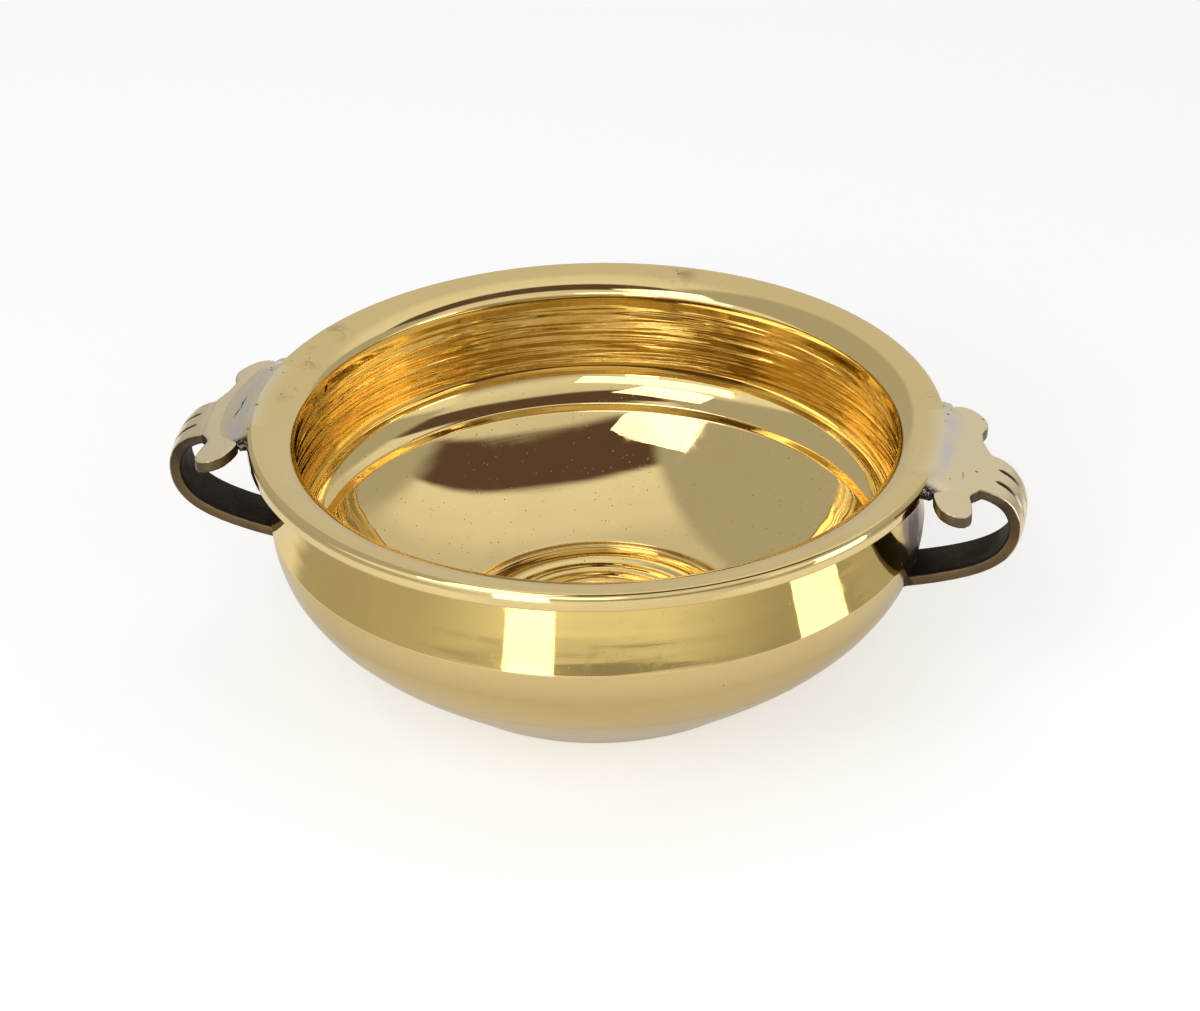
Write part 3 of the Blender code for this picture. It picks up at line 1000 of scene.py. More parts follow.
        ring_in = (self.foot_radius - self.foot_ring, 0.0)
        recess = (ring_in[0] - self.foot_recess, self.foot_recess)
        recess_side = bezier((floor_end, self.recess_floor), corner, corner, dish_foot, 20)
        lines = (np.stack([radius, level], 1), recess_side, dish, [dish_top, cove[0]], cove, wall,
                 [wall[-1], lip_foot], [lip_foot, lip], slope, edge,
                 [(self.rim_radius, self.band_top), band_end], [band_end, tuck], [tuck, shoulder[0]],
                 shoulder, belly, [belly[-1], ring_in], [ring_in, recess], [recess, (0.0, self.foot_recess)])
        return {name: np.array(line, float) for name, line in zip(self.SECTIONS, lines)}

    def _owned(self, *names: str) -> np.ndarray:
        """Whether each row of the profile belongs to one of the named sections."""
        return np.isin(self.owner, [self.SECTIONS.index(name) for name in names])

    def _weight(self, *names: str) -> np.ndarray:
        """1 on the rows of the named sections, fading to 0 over a few rows at their ends.

        Args:
            *names: The sections.

        Returns:
            One number for each row of the profile.
        """
        spread = np.ones(7) / 7
        padded = np.pad(self._owned(*names).astype(float), len(spread) // 2, mode="edge")
        return np.convolve(padded, spread, mode="valid")

    def build(self, finish: bpy.types.Material) -> bpy.types.Object:
        """Turn the profile about the axis and move each point along its normal by the turning marks.

        A point is (r cos a, r sin a, z), where (r, z) runs along the profile and a round the axis.

        Args:
            finish: The bowl's material.

        Returns:
            The piece.
        """
        along = lengths(self.profile)
        angle = np.arange(self.segments) * 2 * np.pi / self.segments
        marks = sum(self._weight(*names)[:, None] * ripple(along, angle, waves, slope, seed)
                    for names, waves, slope, seed in self.MARKS)
        line = self.profile[:, None] + marks[..., None] * across(self.profile)[:, None]
        inner = round_axis(line[1:-1, :, 0], angle, line[1:-1, :, 1])
        poles = [(0.0, 0.0, self.profile[end, 1]) for end in (0, -1)]
        mesh = new_mesh(self.node, np.vstack([inner, poles]), dome_faces(len(line) - 2, self.segments))
        # marks for each row of the profile, among them the painted reflection bands on the belly
        rows = {"along": along, "wall": self._weight("wall"), "dish": self._weight("dish", "cove", "floor"),
                "shoulder": self._weight("shoulder"), "reflection_bands": self._reflection_bands(along)}
        store(mesh, **{name: np.concatenate([np.repeat(row[1:-1], self.segments), row[[0, -1]]])
                       for name, row in rows.items()})
        points = per_vertex(mesh.vertices, "co") / MM
        # the painted reflection and shade of each strap, and the dirty places
        store(mesh, stain=self._stain(points), grime=self._grime(points))
        return add_piece(mesh, self.node, finish)

    def _reflection_bands(self, along: np.ndarray) -> np.ndarray:
        """Painted reflection: soft level bands on the belly in a darker brass, the upper halves of two summed
        sines.
        """
        wave = sum(np.sin(along * 2 * np.pi / length) for length in self.reflection_band_waves)
        return self._weight("belly") * np.clip(wave / 2, 0.0, 1.0)

    def _grime(self, points: np.ndarray) -> np.ndarray:
        """Dirty places: bell-shaped patches, each about a point of the top or the inside.

        Args:
            points: The bowl's vertices.

        Returns:
            A share for each vertex.
        """
        x, y, size = np.array(self.DIRTY, float).T
        inside = np.hypot(points[:, 0], points[:, 1]) < self.rim_radius - self.skin
        above = points[:, 2] > self.recess_floor + self.skin
        away = np.hypot(points[:, None, 0] - x, points[:, None, 1] - y) / size
        return inside * above * np.clip(np.exp(-away ** 2).sum(1), 0.0, 1.0)

    def _stain(self, points: np.ndarray) -> np.ndarray:
        """Painted reflection and shade of the strap: a brown oval on the belly about each strap's foot that
        fades outwards.

        Args:
            points: The bowl's vertices.

        Returns:
            A share for each vertex.
        """
        radius = np.hypot(points[:, 0], points[:, 1])
        outside = radius > self.outer_radius(points[:, 2]) - self.skin
        below = points[:, 2] < self.band_top - self.stain_below_band
        turn = np.arctan2(points[:, 1], np.abs(points[:, 0])) - self.stain_angle
        reach = np.hypot(turn * radius / self.stain_size[0],
                         (points[:, 2] - self.stain_height) / self.stain_size[1])
        return outside * below * (1 - smooth_step(*self.stain_fade, reach))


@dataclass
class Handle:
    """A cast handle: a flat two-lobed ear that flows into a strap, which bends down and back to the belly."""

    bowl: Bowl
    side: Side

    # Ear, with the corners of its two lobes as distances out from the rim and along it
    turn: float = math.radians(4.5)
    ear_edge: float = 102.4
    ear_end: float = 112.3
    ear_thick: float = 3.5
    ear_droop: float = math.radians(10.5)
    joint_front: float = 21.0
    joint_back: float = 27.0
    front_lobe: tuple[Pair, ...] = (
        (0.8, -23.6), (3.0, -28.0), (6.3, -30.0), (9.8, -29.6), (11.6, -26.4), (11.0, -21.4), (10.0, -16.8))
    back_lobe: tuple[Pair, ...] = (
        (9.8, 13.4), (8.6, 18.0), (9.4, 22.0), (8.8, 26.0), (5.4, 29.6), (1.8, 30.6), (-1.0, 29.4))

    # Strap: its section and its path
    strap_width: float = 15.8
    strap_flare: float = 5.0
    strap_flare_length: float = 9.0
    strap_thick: float = 3.8
    strap_root: float = 7.0
    strap_root_thick: float = 2.6
    strap_round: float = 0.9
    strap_flat: float = 1.6
    strap_tuck: float = 0.05
    strap_full: Pair = (-0.01, 6.0)
    strap_crown: float = 0.25
    strap_crown_run: Pair = (0.0, 8.0)
    strap_corners: int = 64
    strap_shift: float = -2.0
    strap_bend: float = 11.8
    strap_drop: float = 36.5
    strap_fall: float = math.radians(14.0)
    strap_pull_down: float = 11.0
    strap_pull_out: float = 21.5

    # Engraved grooves
    groove_spread: float = 3.3
    groove_start: float = 1.8
    groove_end: float = 21.0
    groove_width: float = 2.0
    groove_depth: float = 0.7
    groove_open: float = 2.2
    groove_hold: float = 3.0
    groove_tail: float = 3.0
    groove_least: float = 0.15
    groove_least_width: float = 0.35
    front_least: float = 0.5

    # Mesh
    voxel: float = 0.26
    smoothing: int = 14
    softness: float = 0.5

    # Where marks fade: along the strap, by the groove's depth, about the notch by the filler, by facing out
    strap_fade: Pair = (0.0, 12.0)
    low_fade: Pair = (6.0, 30.0)
    low_share: float = 0.75
    ear_fade: Pair = (-2.0, 1.0)
    groove_clean: Pair = (7.0, 12.0)
    groove_cleaned: float = 0.85
    groove_dark: Pair = (0.06, 0.32)
    notch: Pair = (0.4, -1.5)
    notch_fade: Pair = (1.5, 5.5)
    top_fade: Pair = (0.3, 0.85)

    @property
    def node(self) -> str:
        """Name of the handle's CAD node."""
        return self.side.word + "_handle"

    def droop(self, out: np.ndarray) -> np.ndarray:
        """Height of the ear's top at a distance from the axis."""
        return self.bowl.band_top - (out - self.ear_edge) * math.tan(self.ear_droop)

    def joint_angles(self) -> Pair:
        """Angles about the axis where the ear's joint with the rim starts and ends, before the turn."""
        return -math.asin(self.joint_front / self.ear_edge), math.asin(self.joint_back / self.ear_edge)

    def placed(self, points: np.ndarray) -> np.ndarray:
        """Bring points of the right handle before its turn to their place on the handle's own side.

        Args:
            points: The points, one in each row.

        Returns:
            The points, turned about the axis and on the left side mirrored.
        """
        c, s = math.cos(self.turn), math.sin(self.turn)
        x, y = points[:, 0] * c + points[:, 1] * s, points[:, 1] * c - points[:, 0] * s
        return np.stack([self.side.value * x, y, points[:, 2]], 1)

    def unplaced(self, points: np.ndarray) -> np.ndarray:
        """The reverse of placed.

        Args:
            points: Points or directions, one in each row.

        Returns:
            What they are for the right handle before its turn.
        """
        c, s = math.cos(self.turn), math.sin(self.turn)
        x = self.side.value * points[:, 0]
        return np.stack([x * c - points[:, 1] * s, points[:, 1] * c + x * s, points[:, 2]], 1)

    def outward(self, faces: list[np.ndarray]) -> list[np.ndarray]:
        """Faces made for the right side, turned round on the left one, which is its mirror image."""
        return faces if self.side is Side.RIGHT else flipped(faces)

    def width(self, along: np.ndarray) -> np.ndarray:
        """Width of the strap at a distance along it from the ear's end: a bell-shaped flare at its root."""
        return self.strap_width + self.strap_flare * np.exp(-((along / self.strap_flare_length) ** 2))

    def path(self) -> tuple[np.ndarray, np.ndarray]:
        """The strap's middle line: straight along the ear, an arc round the bend, a cubic to the belly.

        Returns:
            Its (out, height) points, and the distance along it of each, 0 at the ear's end.
        """
        root = self.ear_edge + self.strap_root
        middle = self.ear_thick / 2 / math.cos(self.ear_droop)
        start = np.array([self.ear_end, self.droop(self.ear_end) - middle])
        centre = start - self.strap_bend * np.array([math.sin(self.ear_droop), math.cos(self.ear_droop)])
        bend = arc(centre, self.strap_bend, math.pi / 2 - self.ear_droop, 0.0, 40)
        foot_z = self.bowl.band_top - self.strap_drop
        foot = np.array([self.bowl.outer_radius(foot_z) - self.bowl.wall / 2, foot_z])
        pull = self.strap_pull_out * np.array([math.cos(self.strap_fall), math.sin(self.strap_fall)])
        run = bezier(bend[-1], bend[-1] - (0.0, self.strap_pull_down), foot + pull, foot, 70)
        lead = np.linspace((root, self.droop(root) - middle), start, 6)[:-1]
        line = np.vstack([lead, bend, run[1:]])
        at = lengths(line)
        return line, at - at[len(lead)]

    def _strap(self) -> tuple[np.ndarray, list[np.ndarray]]:
        """The strap as a rounded section carried along its path.

        The section is a rounded rectangle: a circle of the edge's radius, plus a flat of half width and half
        thickness less that radius times the circle's stretched and clipped cosine and sine. It is crowned
        outwards, and at each place of the path it lies square to the path, with its width along Y.

        Returns:
            The vertices and the faces.
        """
        line, at = self.path()
        corner = np.linspace(0, 2 * np.pi, self.strap_corners, endpoint=False)
        half_w = self.width(np.maximum(at, 0.0))[:, None] / 2
        thick = (self.strap_root_thick / 2, self.ear_thick / 2 - self.strap_tuck, self.strap_thick / 2)
        half_t = np.interp(at, [at[0], *self.strap_full], thick)[:, None]
        c, s = np.cos(corner), np.sin(corner)
        flat_x, flat_y = np.clip(self.strap_flat * c, -1, 1), np.clip(self.strap_flat * s, -1, 1)
        x = flat_x * (half_w - self.strap_round) + self.strap_round * c
        y = flat_y * (half_t - self.strap_round) + self.strap_round * s
        crown = self.strap_crown * smooth_step(*self.strap_crown_run, at)[:, None]
        y = y + crown * np.clip(y / half_t, 0, 1) * (1 - (x / half_w) ** 2)
        normal = across(line)
        points = np.stack([line[:, :1] + y * normal[:, :1], self.strap_shift + x,
                           line[:, 1:] + y * normal[:, 1:]], -1).reshape(-1, 3)
        return points, tube_faces(len(line), self.strap_corners)

    def _ear(self) -> tuple[np.ndarray, list[np.ndarray]]:
        """The ear as its outline carried down through its thickness, closed by a face above and one below.

        Returns:
            The vertices and the faces.
        """
        front, back = self.joint_angles()
        joint = arc((0.0, 0.0), self.ear_edge, back, front, 24)
        rim = self.bowl.rim_radius
        half = self.width(np.zeros(1))[0] / 2
        front_lobe = [(rim + out, along) for out, along in self.front_lobe]
        back_lobe = [(rim + out, along) for out, along in self.back_lobe]
        front_side = through([joint[-1], *front_lobe, (self.ear_end, self.strap_shift - half)], 12)
        back_side = through([(self.ear_end, self.strap_shift + half), *back_lobe, joint[0]], 12)
        outline = np.vstack([joint, front_side[1:], back_side[:-1]])
        drops = np.linspace(0.0, self.ear_thick / math.cos(self.ear_droop), 6)
        level = self.droop(outline[:, 0]) - drops[:, None]
        rows, count = len(drops), len(outline)
        flat = np.broadcast_to(outline, (rows, count, 2))
        points = np.concatenate([flat, level[..., None]], -1).reshape(-1, 3)
        return points, flipped(tube_faces(rows, count))

    def _fused(self) -> bpy.types.Mesh:
        """Run the ear and the strap into one smooth skin, by remeshing both in fine voxels.

        Returns:
            The mesh.
        """
        ear, ear_faces = self._ear()
        strap, strap_faces = self._strap()
        faces = [*ear_faces, *(block + len(ear) for block in strap_faces)]
        name = self.node + "_rough"
        mesh = new_mesh(name, self.placed(np.vstack([ear, strap])), self.outward(faces))
        rough = bpy.data.objects.new(name, mesh)
        bpy.context.scene.collection.objects.link(rough)
        remesh = rough.modifiers.new("fuse", "REMESH")
        remesh.mode = "VOXEL"
        remesh.voxel_size = self.voxel * MM
        remesh.use_smooth_shade = True
        soften = rough.modifiers.new("soften", "SMOOTH")
        soften.factor = self.softness
        soften.iterations = self.smoothing
        finished = rough.evaluated_get(bpy.context.evaluated_depsgraph_get())
        mesh = bpy.data.meshes.new_from_object(finished)
        bpy.data.objects.remove(rough)
        mesh.name = self.node
        return mesh

    def _along_strap(self, points: np.ndarray) -> tuple[np.ndarray, np.ndarray]:
        """For points before the turn, the distance along the strap and the strap's outward normal there.

        Each point takes the nearest of the path's own points.

        Args:
            points: Points of the right handle before its turn.

        Returns:
            The distances, and the normals as (out, height) rows.
        """
        line, at = self.path()
        flat = points[:, [0, 2]]
        gap = (flat ** 2).sum(1)[:, None] - 2 * flat @ line.T + (line ** 2).sum(1)
        nearest = gap.argmin(1)
        return at[nearest], across(line)[nearest]

    def _groove(self, along: np.ndarray, sideways: np.ndarray) -> np.ndarray:
        """Depth of the two engraved grooves: V-shaped, quick to open and slowly running out.

        Args:
            along: Distance along the strap of each point.
            sideways: Distance of each point from the strap's middle line.

        Returns:
            A share of the full depth for each point.
        """
        opening = smooth_step(self.groove_start, self.groove_start + self.groove_open, along)
        run_out = 1 - smooth_step(self.groove_start + self.groove_hold, self.groove_end, along)
        reach = opening * (self.groove_least + (1 - self.groove_least) * run_out)
        reach = reach * (along < self.groove_end + self.groove_tail)
        width = self.groove_width / 2 * (self.groove_least_width + (1 - self.groove_least_width) * reach)
        offset = np.abs(np.abs(sideways) - self.groove_spread)
        return reach * np.clip(1 - offset / width, 0.0, None)

    def build(self, finish: bpy.types.Material) -> bpy.types.Object:
        """Fuse the handle, engrave its strap and mark which way each point faces.

        Args:
            finish: The handle's material.

        Returns:
            The piece.
        """
        mesh = self._fused()
        points = per_vertex(mesh.vertices, "co") / MM
        normals = per_vertex(mesh.vertex_normals, "vector")
        local, facing = self.unplaced(points), self.unplaced(normals)
        along, outward = self._along_strap(local)
        front = facing[:, 0] * outward[:, 0] + facing[:, 2] * outward[:, 1]
        groove = self._groove(along, local[:, 1] - self.strap_shift) * (front > self.front_least)
        points = points - normals * (self.groove_depth * groove)[:, None]
        mesh.vertices.foreach_set("co", (points * MM).astype(np.float32).ravel())
        mesh.update()
        ear = 1 - smooth_step(*self.ear_fade, along)
        low = self.low_share * smooth_step(*self.low_fade, along) + (1 - self.low_share) * ear
        engraved = smooth_step(*self.groove_dark, groove)
        engraved = engraved * (1 - self.groove_cleaned * smooth_step(*self.groove_clean, along))
        notch = np.hypot(local[:, 0] - self.ear_edge - self.notch[0],
                         local[:, 1] + self.joint_front - self.notch[1])
        oxide = (1 - smooth_step(*self.notch_fade, notch)) * (1 - smooth_step(*self.top_fade, front))
        on_strap = smooth_step(*self.strap_fade, along)
        # facing and down choose where the finish paints shade on the sides and underside; groove and oxide
        # are real dark in hollows
        store(mesh, facing=front, strap=on_strap, down=low, groove=engraved, oxide=oxide)
        return add_piece(mesh, self.node, finish)


@dataclass
class RimBraze:
    """The filler between the rim and the ear: a strip that runs out thin on both, ground into one curve."""

    handle: Handle

    # Section
    inner: float = 92.6
    crest: float = 97.0
    outer: float = 109.0
    gap: float = 101.0
    depth: float = 3.0
    bottom: float = 0.55
    swell: float = 0.07
    tuck: float = 0.12
    edge_round: float = 0.18

    # Ends and unevenness
    span: Pair = (-0.02, 1.08)
    end_taper: float = 0.16
    end_width: float = 0.2
    end_sink: float = 0.8
    wander: float = 0.2
    unevenness: float = 0.25

    # Where marks fade
    band_wander: float = 0.5
    polish_fade: Pair = (0.8, 2.4)
    polish_ends: Pair = (0.06, 0.24)
    polish_past_rim: float = 1.5
    burnt_end: Pair = (0.02, 0.075)
    mark_fade: Pair = (-0.15, 0.2)

    # Mesh
    steps: int = 220
    columns: int = 56
    seed: int = 29

    # Middle radius and spread of the grey band; X, Y and half width of the crack's corners and of the pits
    BAND = {Side.RIGHT: (101.0, 2.0), Side.LEFT: (102.2, 3.4)}
    CRACK = {Side.RIGHT: ((106.4, -6.5, 0.08), (106.9, -10.1, 0.02)),
             Side.LEFT: ((102.4, 5.8, 0.05), (103.0, 1.6, 0.3), (103.0, -1.4, 0.12), (103.8, -4.0, 0.28),
                         (104.2, -6.4, 0.02))}
    PITS = {Side.RIGHT: ((98.4, 25.6, 0.3), (98.1, 21.6, 0.35), (98.0, 17.0, 0.15), (103.6, -12.5, 0.18)),
            Side.LEFT: ((97.8, -15.9, 0.4), (97.6, -20.4, 0.35), (98.0, 20.4, 0.35), (98.5, 22.4, 0.3),
                        (98.8, 9.0, 0.15), (100.4, -4.5, 0.15))}

    @property
    def node(self) -> str:
        """Name of the filler's CAD node."""
        return self.handle.side.word + "_rim_braze"

    def _marks(self, points: np.ndarray) -> np.ndarray:
        """Where a casting crack and a few open pits show: 1 on them, fading to 0 across their edges.

        Args:
            points: The strip's vertices before the handle's turn.

        Returns:
            A share for each vertex.
        """
        line = np.array(self.CRACK[self.handle.side], float)
        crack = resampled(line, np.linspace(0.0, lengths(line)[-1], 40))
        spots = np.vstack([crack, self.PITS[self.handle.side]])
        away = np.hypot(points[:, None, 0] - spots[:, 0], points[:, None, 1] - spots[:, 1]) - spots[:, 2]
        return 1 - smooth_step(*self.mark_fade, away.min(1))

    def _strip(self) -> tuple[np.ndarray, np.ndarray, np.ndarray]:
        """The strip's section, carried round the joint.

        At each angle the section is a closed loop. Its top is a cubic that leaves the rim's crown level and
        meets the ear at the ear's own slope, never below either and tucked just under them at its edges; its
        bottom is flat. The strip narrows towards its ends, and sine waves make it a little uneven.

        Returns:
            The radii of the vertices, with a row for each angle, the vertices before the handle's turn, and
            how far each row wanders.
        """
        handle, bowl = self.handle, self.handle.bowl
        rng = np.random.default_rng(self.seed + handle.side.value)
        front, back = handle.joint_angles()
        share = np.linspace(0.0, 1.0, self.steps)
        angle = front + (back - front) * (self.span[0] + (self.span[1] - self.span[0]) * share)
        taper = smooth_step(0.0, self.end_taper, share) * smooth_step(0.0, self.end_taper, 1 - share)
        wander = sum(rng.uniform(0.1, 0.35) * np.sin(k * 2.3 * np.pi * share + rng.uniform(0, 6.3))
                     for k in range(1, 6))
        place = np.linspace(-1.0, 1.0, self.columns)
        middle = (self.gap + ((self.inner + self.outer) / 2 - self.gap) * taper)[:, None]
        narrowing = self.end_width + (1 - self.end_width) * taper
        reach = ((self.outer - self.inner) / 2 * narrowing)[:, None]
        radius = middle + self.wander * wander[:, None] + reach * place
        rim = np.where(radius < bowl.rim_radius, bowl.top_height(radius), -np.inf)
        ear = np.where(radius > handle.ear_edge, handle.droop(radius), -np.inf)
        way = np.clip((radius - self.crest) / (self.outer - self.crest), 0.0, 1.0)
        ends = bowl.top_height(self.crest), handle.droop(self.outer)
        fall = (self.crest - self.outer) * math.tan(handle.ear_droop)
        bridge = ends[0] + (ends[1] - ends[0]) * way ** 2 * (3 - 2 * way) + fall * way ** 2 * (way - 1)
        base = np.maximum(np.maximum(rim, ear), np.where(radius > self.crest, bridge, -np.inf))
        lumps = sum(rng.uniform(0.3, 0.6) * np.sin(rng.uniform(14, 46) * share[:, None] + 3.1 * k * place
                                                   + rng.uniform(0, 6.3)) for k in range(1, 5))
        bulge = smooth_step(0.0, self.edge_round, 1 - np.abs(place))
        top = base + self.swell * bulge * (1 + self.unevenness * lumps) - self.tuck * (1 - bulge)
        top = top - self.end_sink * (1 - taper)[:, None]
        low_radius = middle + reach * self.bottom * place[::-1]
        low = base.min(1, keepdims=True) - self.depth + 0 * place
        out = np.hstack([radius, low_radius])
        return out, round_axis(out, angle[:, None], np.hstack([top, low])), wander[:, None]

    def build(self, finish: bpy.types.Material) -> bpy.types.Object:
        """Make the strip, and mark its grey band, its polish, its crack and its burnt end.

        The band is bell-shaped across the strip. Where the strip lies on the rim, and there most of all at
        its ends, it has the rim's own polish.

        Args:
            finish: The filler's material.

        Returns:
            The piece.
        """
        handle, rim = self.handle, self.handle.bowl.rim_radius
        out, points, wander = self._strip()
        faces = flipped(tube_faces(*out.shape))
        mesh = new_mesh(self.node, handle.placed(points), handle.outward(faces))
        share = np.linspace(0.0, 1.0, self.steps)
        centre, spread = self.BAND[handle.side]
        middle = np.exp(-((out - centre - self.band_wander * wander) / spread) ** 2)
        inward = 1 - smooth_step(self.inner + self.polish_fade[0], self.crest + self.polish_fade[1], out)
        near_end = 1 - smooth_step(*self.polish_ends, np.minimum(share, 1 - share))[:, None]
        on_rim = 1 - smooth_step(rim, rim + self.polish_past_rim, out)
        burnt = np.repeat(1 - smooth_step(*self.burnt_end, share), out.shape[1])
        store(mesh, middle=middle, inward=np.maximum(inward, near_end * on_rim),
              crack=self._marks(points), burnt=burnt)
        return add_piece(mesh, self.node, finish)


@dataclass
class FootBraze:
    """The filler under the strap's foot: a dark lumpy fillet on the belly, all round the strap."""

    handle: Handle
    margin: float = 1.6
    rise: float = 2.2
    sink: float = 0.35
    clear: float = 0.3
    oval: Pair = (1.05, 1.25)
    rings: int = 24
    spokes: int = 96
    seed: int = 41

    @property
    def node(self) -> str:
        """Name of the filler's CAD node."""
        return self.handle.side.word + "_foot_braze"

    @property
    def foot_height(self) -> float:
        """Height of the pad's middle."""
        return self.handle.bowl.band_top - self.handle.strap_drop + self.clear

    def _on_belly(self, sideways: np.ndarray, upwards: np.ndarray, above: np.ndarray) -> np.ndarray:
        """Points over the belly; a distance sideways over the belly's radius is an angle about the axis.

        Args:
            sideways: Distances round the belly from the strap's middle.
            upwards: Heights over the pad's middle.
            above: Distances out from the belly.

        Returns:
            The points before the handle's turn, one in each row.
        """
        outer = self.handle.bowl.outer_radius
        level = self.foot_height + upwards
        turn = (self.handle.strap_shift + sideways) / outer(self.foot_height)
        return round_axis(outer(level) + above, turn, level)

    def build(self, finish: bpy.types.Material) -> bpy.types.Object:
        """Lay a pad on the belly about the strap's foot.

        The pad is a disc in (sideways, upwards) on the belly: spokes to a rounded rectangle that is the
        strap's section plus an uneven margin, a sum of sines round it. Its height above the belly falls from
        the strap to the pad's edge as a concave fillet, and a second layer just under the belly closes it.

        Args:
            finish: The filler's material.

        Returns:
            The piece.
        """
        handle = self.handle
        rng = np.random.default_rng(self.seed + handle.side.value)
        spoke = np.arange(self.spokes) * 2 * np.pi / self.spokes
        lumps = 1 + sum(rng.uniform(0.04, 0.12) * np.sin(k * spoke + rng.uniform(0, 6.3))
                        for k in range(2, 9))
        c, s = np.cos(spoke), np.sin(spoke)
        half_w, half_t = handle.strap_width / 2, handle.strap_thick / 2 / math.cos(handle.strap_fall)
        box = 1 / np.maximum(np.abs(c) / half_w, np.abs(s) / half_t)
        oval = 1 / np.hypot(c / (half_w * self.oval[0]), s / (half_t * self.oval[1]))
        strap_edge = np.minimum(box, oval)
        edge = strap_edge + self.margin * lumps
        share = np.linspace(0.0, 1.0, self.rings)[1:, None]
        reach = share * edge
        away = np.clip((reach - strap_edge + self.clear) / (edge - strap_edge + self.clear), 0.0, 1.0)
        height = (self.rise + self.sink) * (1 - away) ** 2 - self.sink
        under = -self.sink - self.clear
        upper = self._on_belly(reach * c, reach * s, height)
        lower = self._on_belly((reach * c)[::-1], (reach * s)[::-1], np.full_like(reach, under))
        zero = np.zeros(1)
        poles = [self._on_belly(zero, zero, zero + above) for above in (self.rise, under)]
        points = handle.placed(np.vstack([upper, lower, *poles]))
        mesh = new_mesh(self.node, points, handle.outward(dome_faces(2 * len(share), self.spokes)))
        return add_piece(mesh, self.node, finish)


# Studio


@dataclass(frozen=True)
class Softbox:
    """A soft rectangular lamp that faces a point; its radiance is what a polished surface shows of it."""

    name: str
    place: tuple[float, float, float]
    target: tuple[float, float, float]
    size: Pair
    radiance: float

    def build(self) -> None:
        """Add the lamp. Its power is its radiance times pi times its area."""
        lamp = bpy.data.lights.new(self.name, "AREA")
        lamp.shape = "RECTANGLE"
        lamp.size, lamp.size_y = self.size
        lamp.energy = self.radiance * math.pi * self.size[0] * self.size[1]
        item = bpy.data.objects.new(self.name, lamp)
        item.location = self.place
        item.rotation_mode = "QUATERNION"
        item.rotation_quaternion = (Vector(self.target) - Vector(self.place)).to_track_quat("-Z", "Y")
        item.visible_camera = False
        bpy.context.scene.collection.objects.link(item)


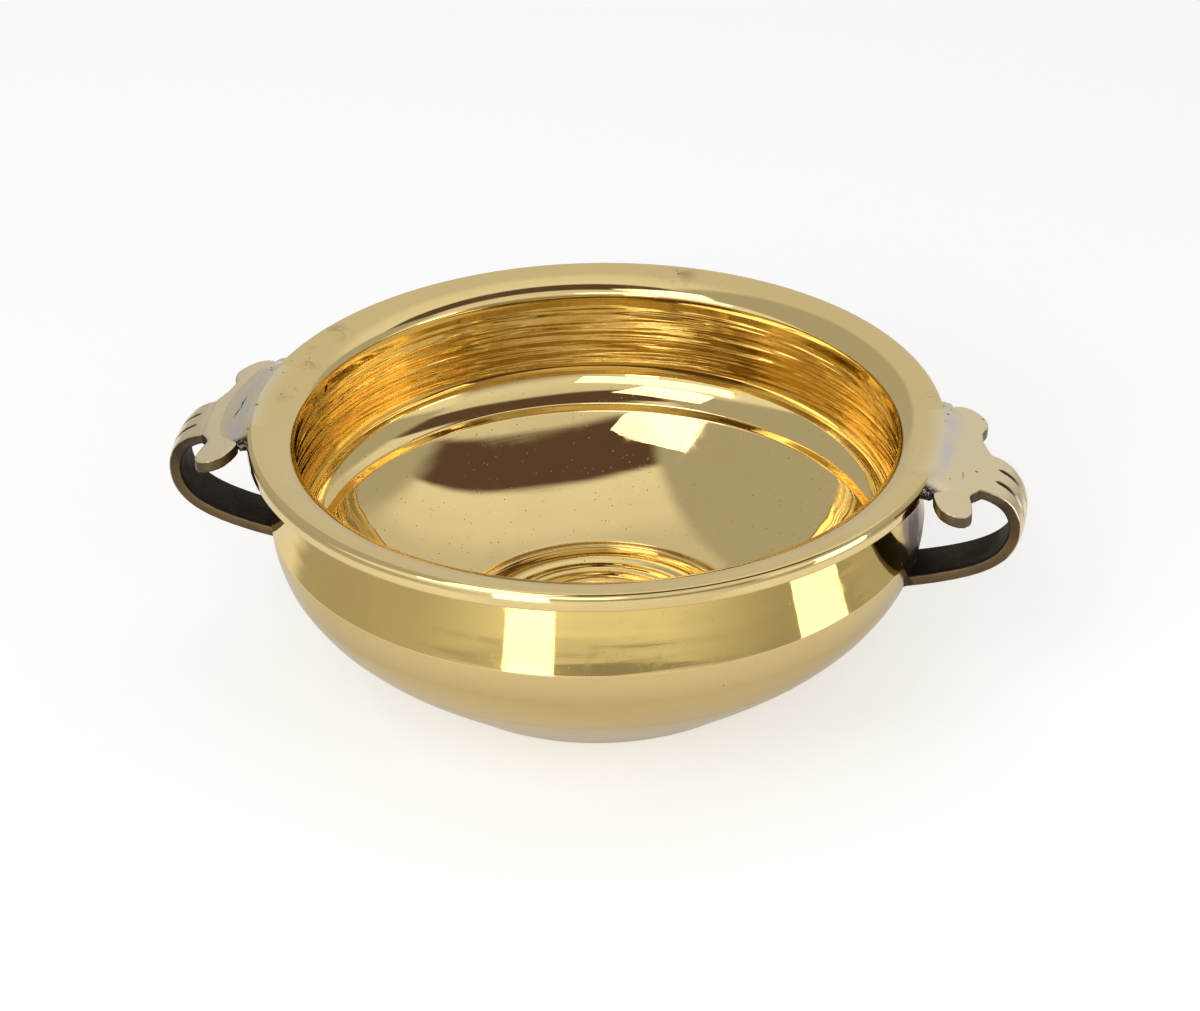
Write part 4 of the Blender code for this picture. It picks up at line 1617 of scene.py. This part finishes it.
@dataclass
class Studio:
    """The plain studio: a pale floor, a soft sky in broad grey bands, a few soft lamps and the camera."""

    floor_reach: float = 6.0
    sky_bands: tuple[Pair, ...] = ((0.0, 0.60), (0.10, 0.69), (0.32, 0.71), (0.42, 0.90), (0.52, 0.95),
                                   (0.545, 0.10), (0.675, 0.10), (0.71, 0.80), (0.88, 0.90), (1.0, 0.35))
    sky_dark: Colour = (1.25, 0.80, 0.70)
    sky_dark_below: float = 0.2
    sky_left: Pair = (-0.33, -0.25)
    sky_right: Pair = (0.80, 0.70)
    sky_slant: float = 0.12
    sky_plain: Pair = (0.50, 1.0)
    sky_turn: Pair = (0.66, 0.75)
    aim: tuple[float, float, float] = (0.0, 0.0, 0.070)
    distance: float = 0.85
    elevation: float = math.radians(28.73)
    azimuth: float = CAMERA_AZIMUTH
    roll: float = math.radians(-0.91)
    tilt: float = math.radians(-1.466)
    pan: float = math.radians(-0.066)
    lens: float = 88.77
    lamps: tuple[Softbox, ...] = (
        Softbox("front_strip", (-0.050, -0.30, 0.075), (0.0, 0.0, 0.075), (0.075, 0.15), 2.2),
        Softbox("side_strip", (0.34, -0.07, 0.075), (0.0, 0.0, 0.075), (0.11, 0.15), 2.2),
        Softbox("window", (-0.26, -0.98, 0.60), (0.0, 0.0, 0.05), (1.25, 0.36), 1.5),
        Softbox("key", (-0.36, -0.72, 1.10), (0.0, 0.0, 0.05), (0.60, 0.60), 2.2),
    )

    def build(self) -> None:
        """Make the whole studio."""
        self._floor()
        self._sky()
        for lamp in self.lamps:
            lamp.build()
        self._camera()

    def _floor(self) -> None:
        """A large flat floor in the plane of the foot."""
        reach = self.floor_reach / MM
        corners = [(-reach, -reach, 0.0), (reach, -reach, 0.0), (reach, reach, 0.0), (-reach, reach, 0.0)]
        mesh = new_mesh("floor", np.array(corners), [np.arange(4)[None]])
        mesh.materials.append(PaleFloor().material())
        floor = bpy.data.objects.new("floor", mesh)
        bpy.context.scene.collection.objects.link(floor)

    def _sky(self) -> None:
        """A plain grey sky in broad bands, the dark one warm, from the far horizon over the top to the near.

        A direction's band is its angle in the upright plane that the camera looks along, as a share of half
        a turn, plus a slant to the right; towards both sides the bands fade into a plain grey.
        """
        world = bpy.data.worlds.new("soft_sky")
        world.use_nodes = True
        nodes = Nodes(world.node_tree)
        way = nodes.out("TexCoord", output="Generated")
        c, s = math.cos(self.azimuth), math.sin(self.azimuth)
        ahead, right = (nodes.out("VectorMath", {0: way, 1: axis}, "Value", operation="DOT_PRODUCT")
                        for axis in ((-s, c, 0.0), (c, s, 0.0)))
        up = nodes.calc("ABSOLUTE", nodes.split("SeparateXYZ", way)[2])
        turn = nodes.calc("DIVIDE", nodes.calc("ARCTAN2", up, ahead), math.pi)
        reflection_bands = nodes.add("ValToRGB", {0: right * self.sky_slant + turn})
        reflection_bands.color_ramp.interpolation = "EASE"
        stops = reflection_bands.color_ramp.elements
        for _ in self.sky_bands[2:]:
            stops.new(1.0)
        for stop, (place, level) in zip(stops, self.sky_bands):
            stop.position = place
            warm = self.sky_dark if level < self.sky_dark_below else (1.0, 1.0, 1.0)
            stop.color = (*(level * share for share in warm), 1.0)
        plain = turn.ramp(*self.sky_turn, self.sky_plain)
        plain = nodes.out("CombineColor", {channel: plain for channel in range(3)})
        middle = right.ramp(*self.sky_left) * right.ramp(*self.sky_right)
        sky = nodes.layered(plain, (middle, Value(nodes, reflection_bands.outputs["Color"])))
        nodes.feed(world.node_tree.nodes["Background"].inputs["Color"], sky)
        bpy.context.scene.world = world

    def _camera(self) -> None:
        """The camera, which looks past the mouth's middle, so that this lies a little above the picture's."""
        camera = bpy.data.cameras.new("camera")
        camera.lens = self.lens
        camera.clip_start, camera.clip_end = 0.05, 50.0
        item = bpy.data.objects.new("camera", camera)
        level = math.cos(self.elevation)
        back = Vector((math.sin(self.azimuth) * level, -math.cos(self.azimuth) * level,
                       math.sin(self.elevation)))
        item.location = Vector(self.aim) + self.distance * back
        item.rotation_mode = "QUATERNION"
        item.rotation_quaternion = ((-back).to_track_quat("-Z", "Y") @ Quaternion((0, 0, 1), self.roll)
                                    @ Quaternion((1, 0, 0), self.tilt) @ Quaternion((0, 1, 0), self.pan))
        bpy.context.scene.collection.objects.link(item)
        bpy.context.scene.camera = item


def main() -> None:
    """Build the studio, then each piece with its finish, the bowl sized by its CAD part's box."""
    logging.basicConfig(level=logging.INFO, format="%(name)s %(message)s")
    bpy.context.scene.view_settings.view_transform = "Standard"
    Studio().build()
    effects = Effects()
    polished, cast = PolishedBrass().material(effects), CastBrass().material(effects)
    filler, dark = BrazeFiller().material(effects), DarkFiller().material(effects)
    _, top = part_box(Bowl.node)
    bowl = Bowl(rim_radius=top.x / MM, height=top.z / MM)
    bowl.build(polished)
    for side in Side:
        handle = Handle(bowl, side)
        handle.build(cast)
        RimBraze(handle).build(filler)
        FootBraze(handle).build(dark)


if __name__ == "__main__":
    main()
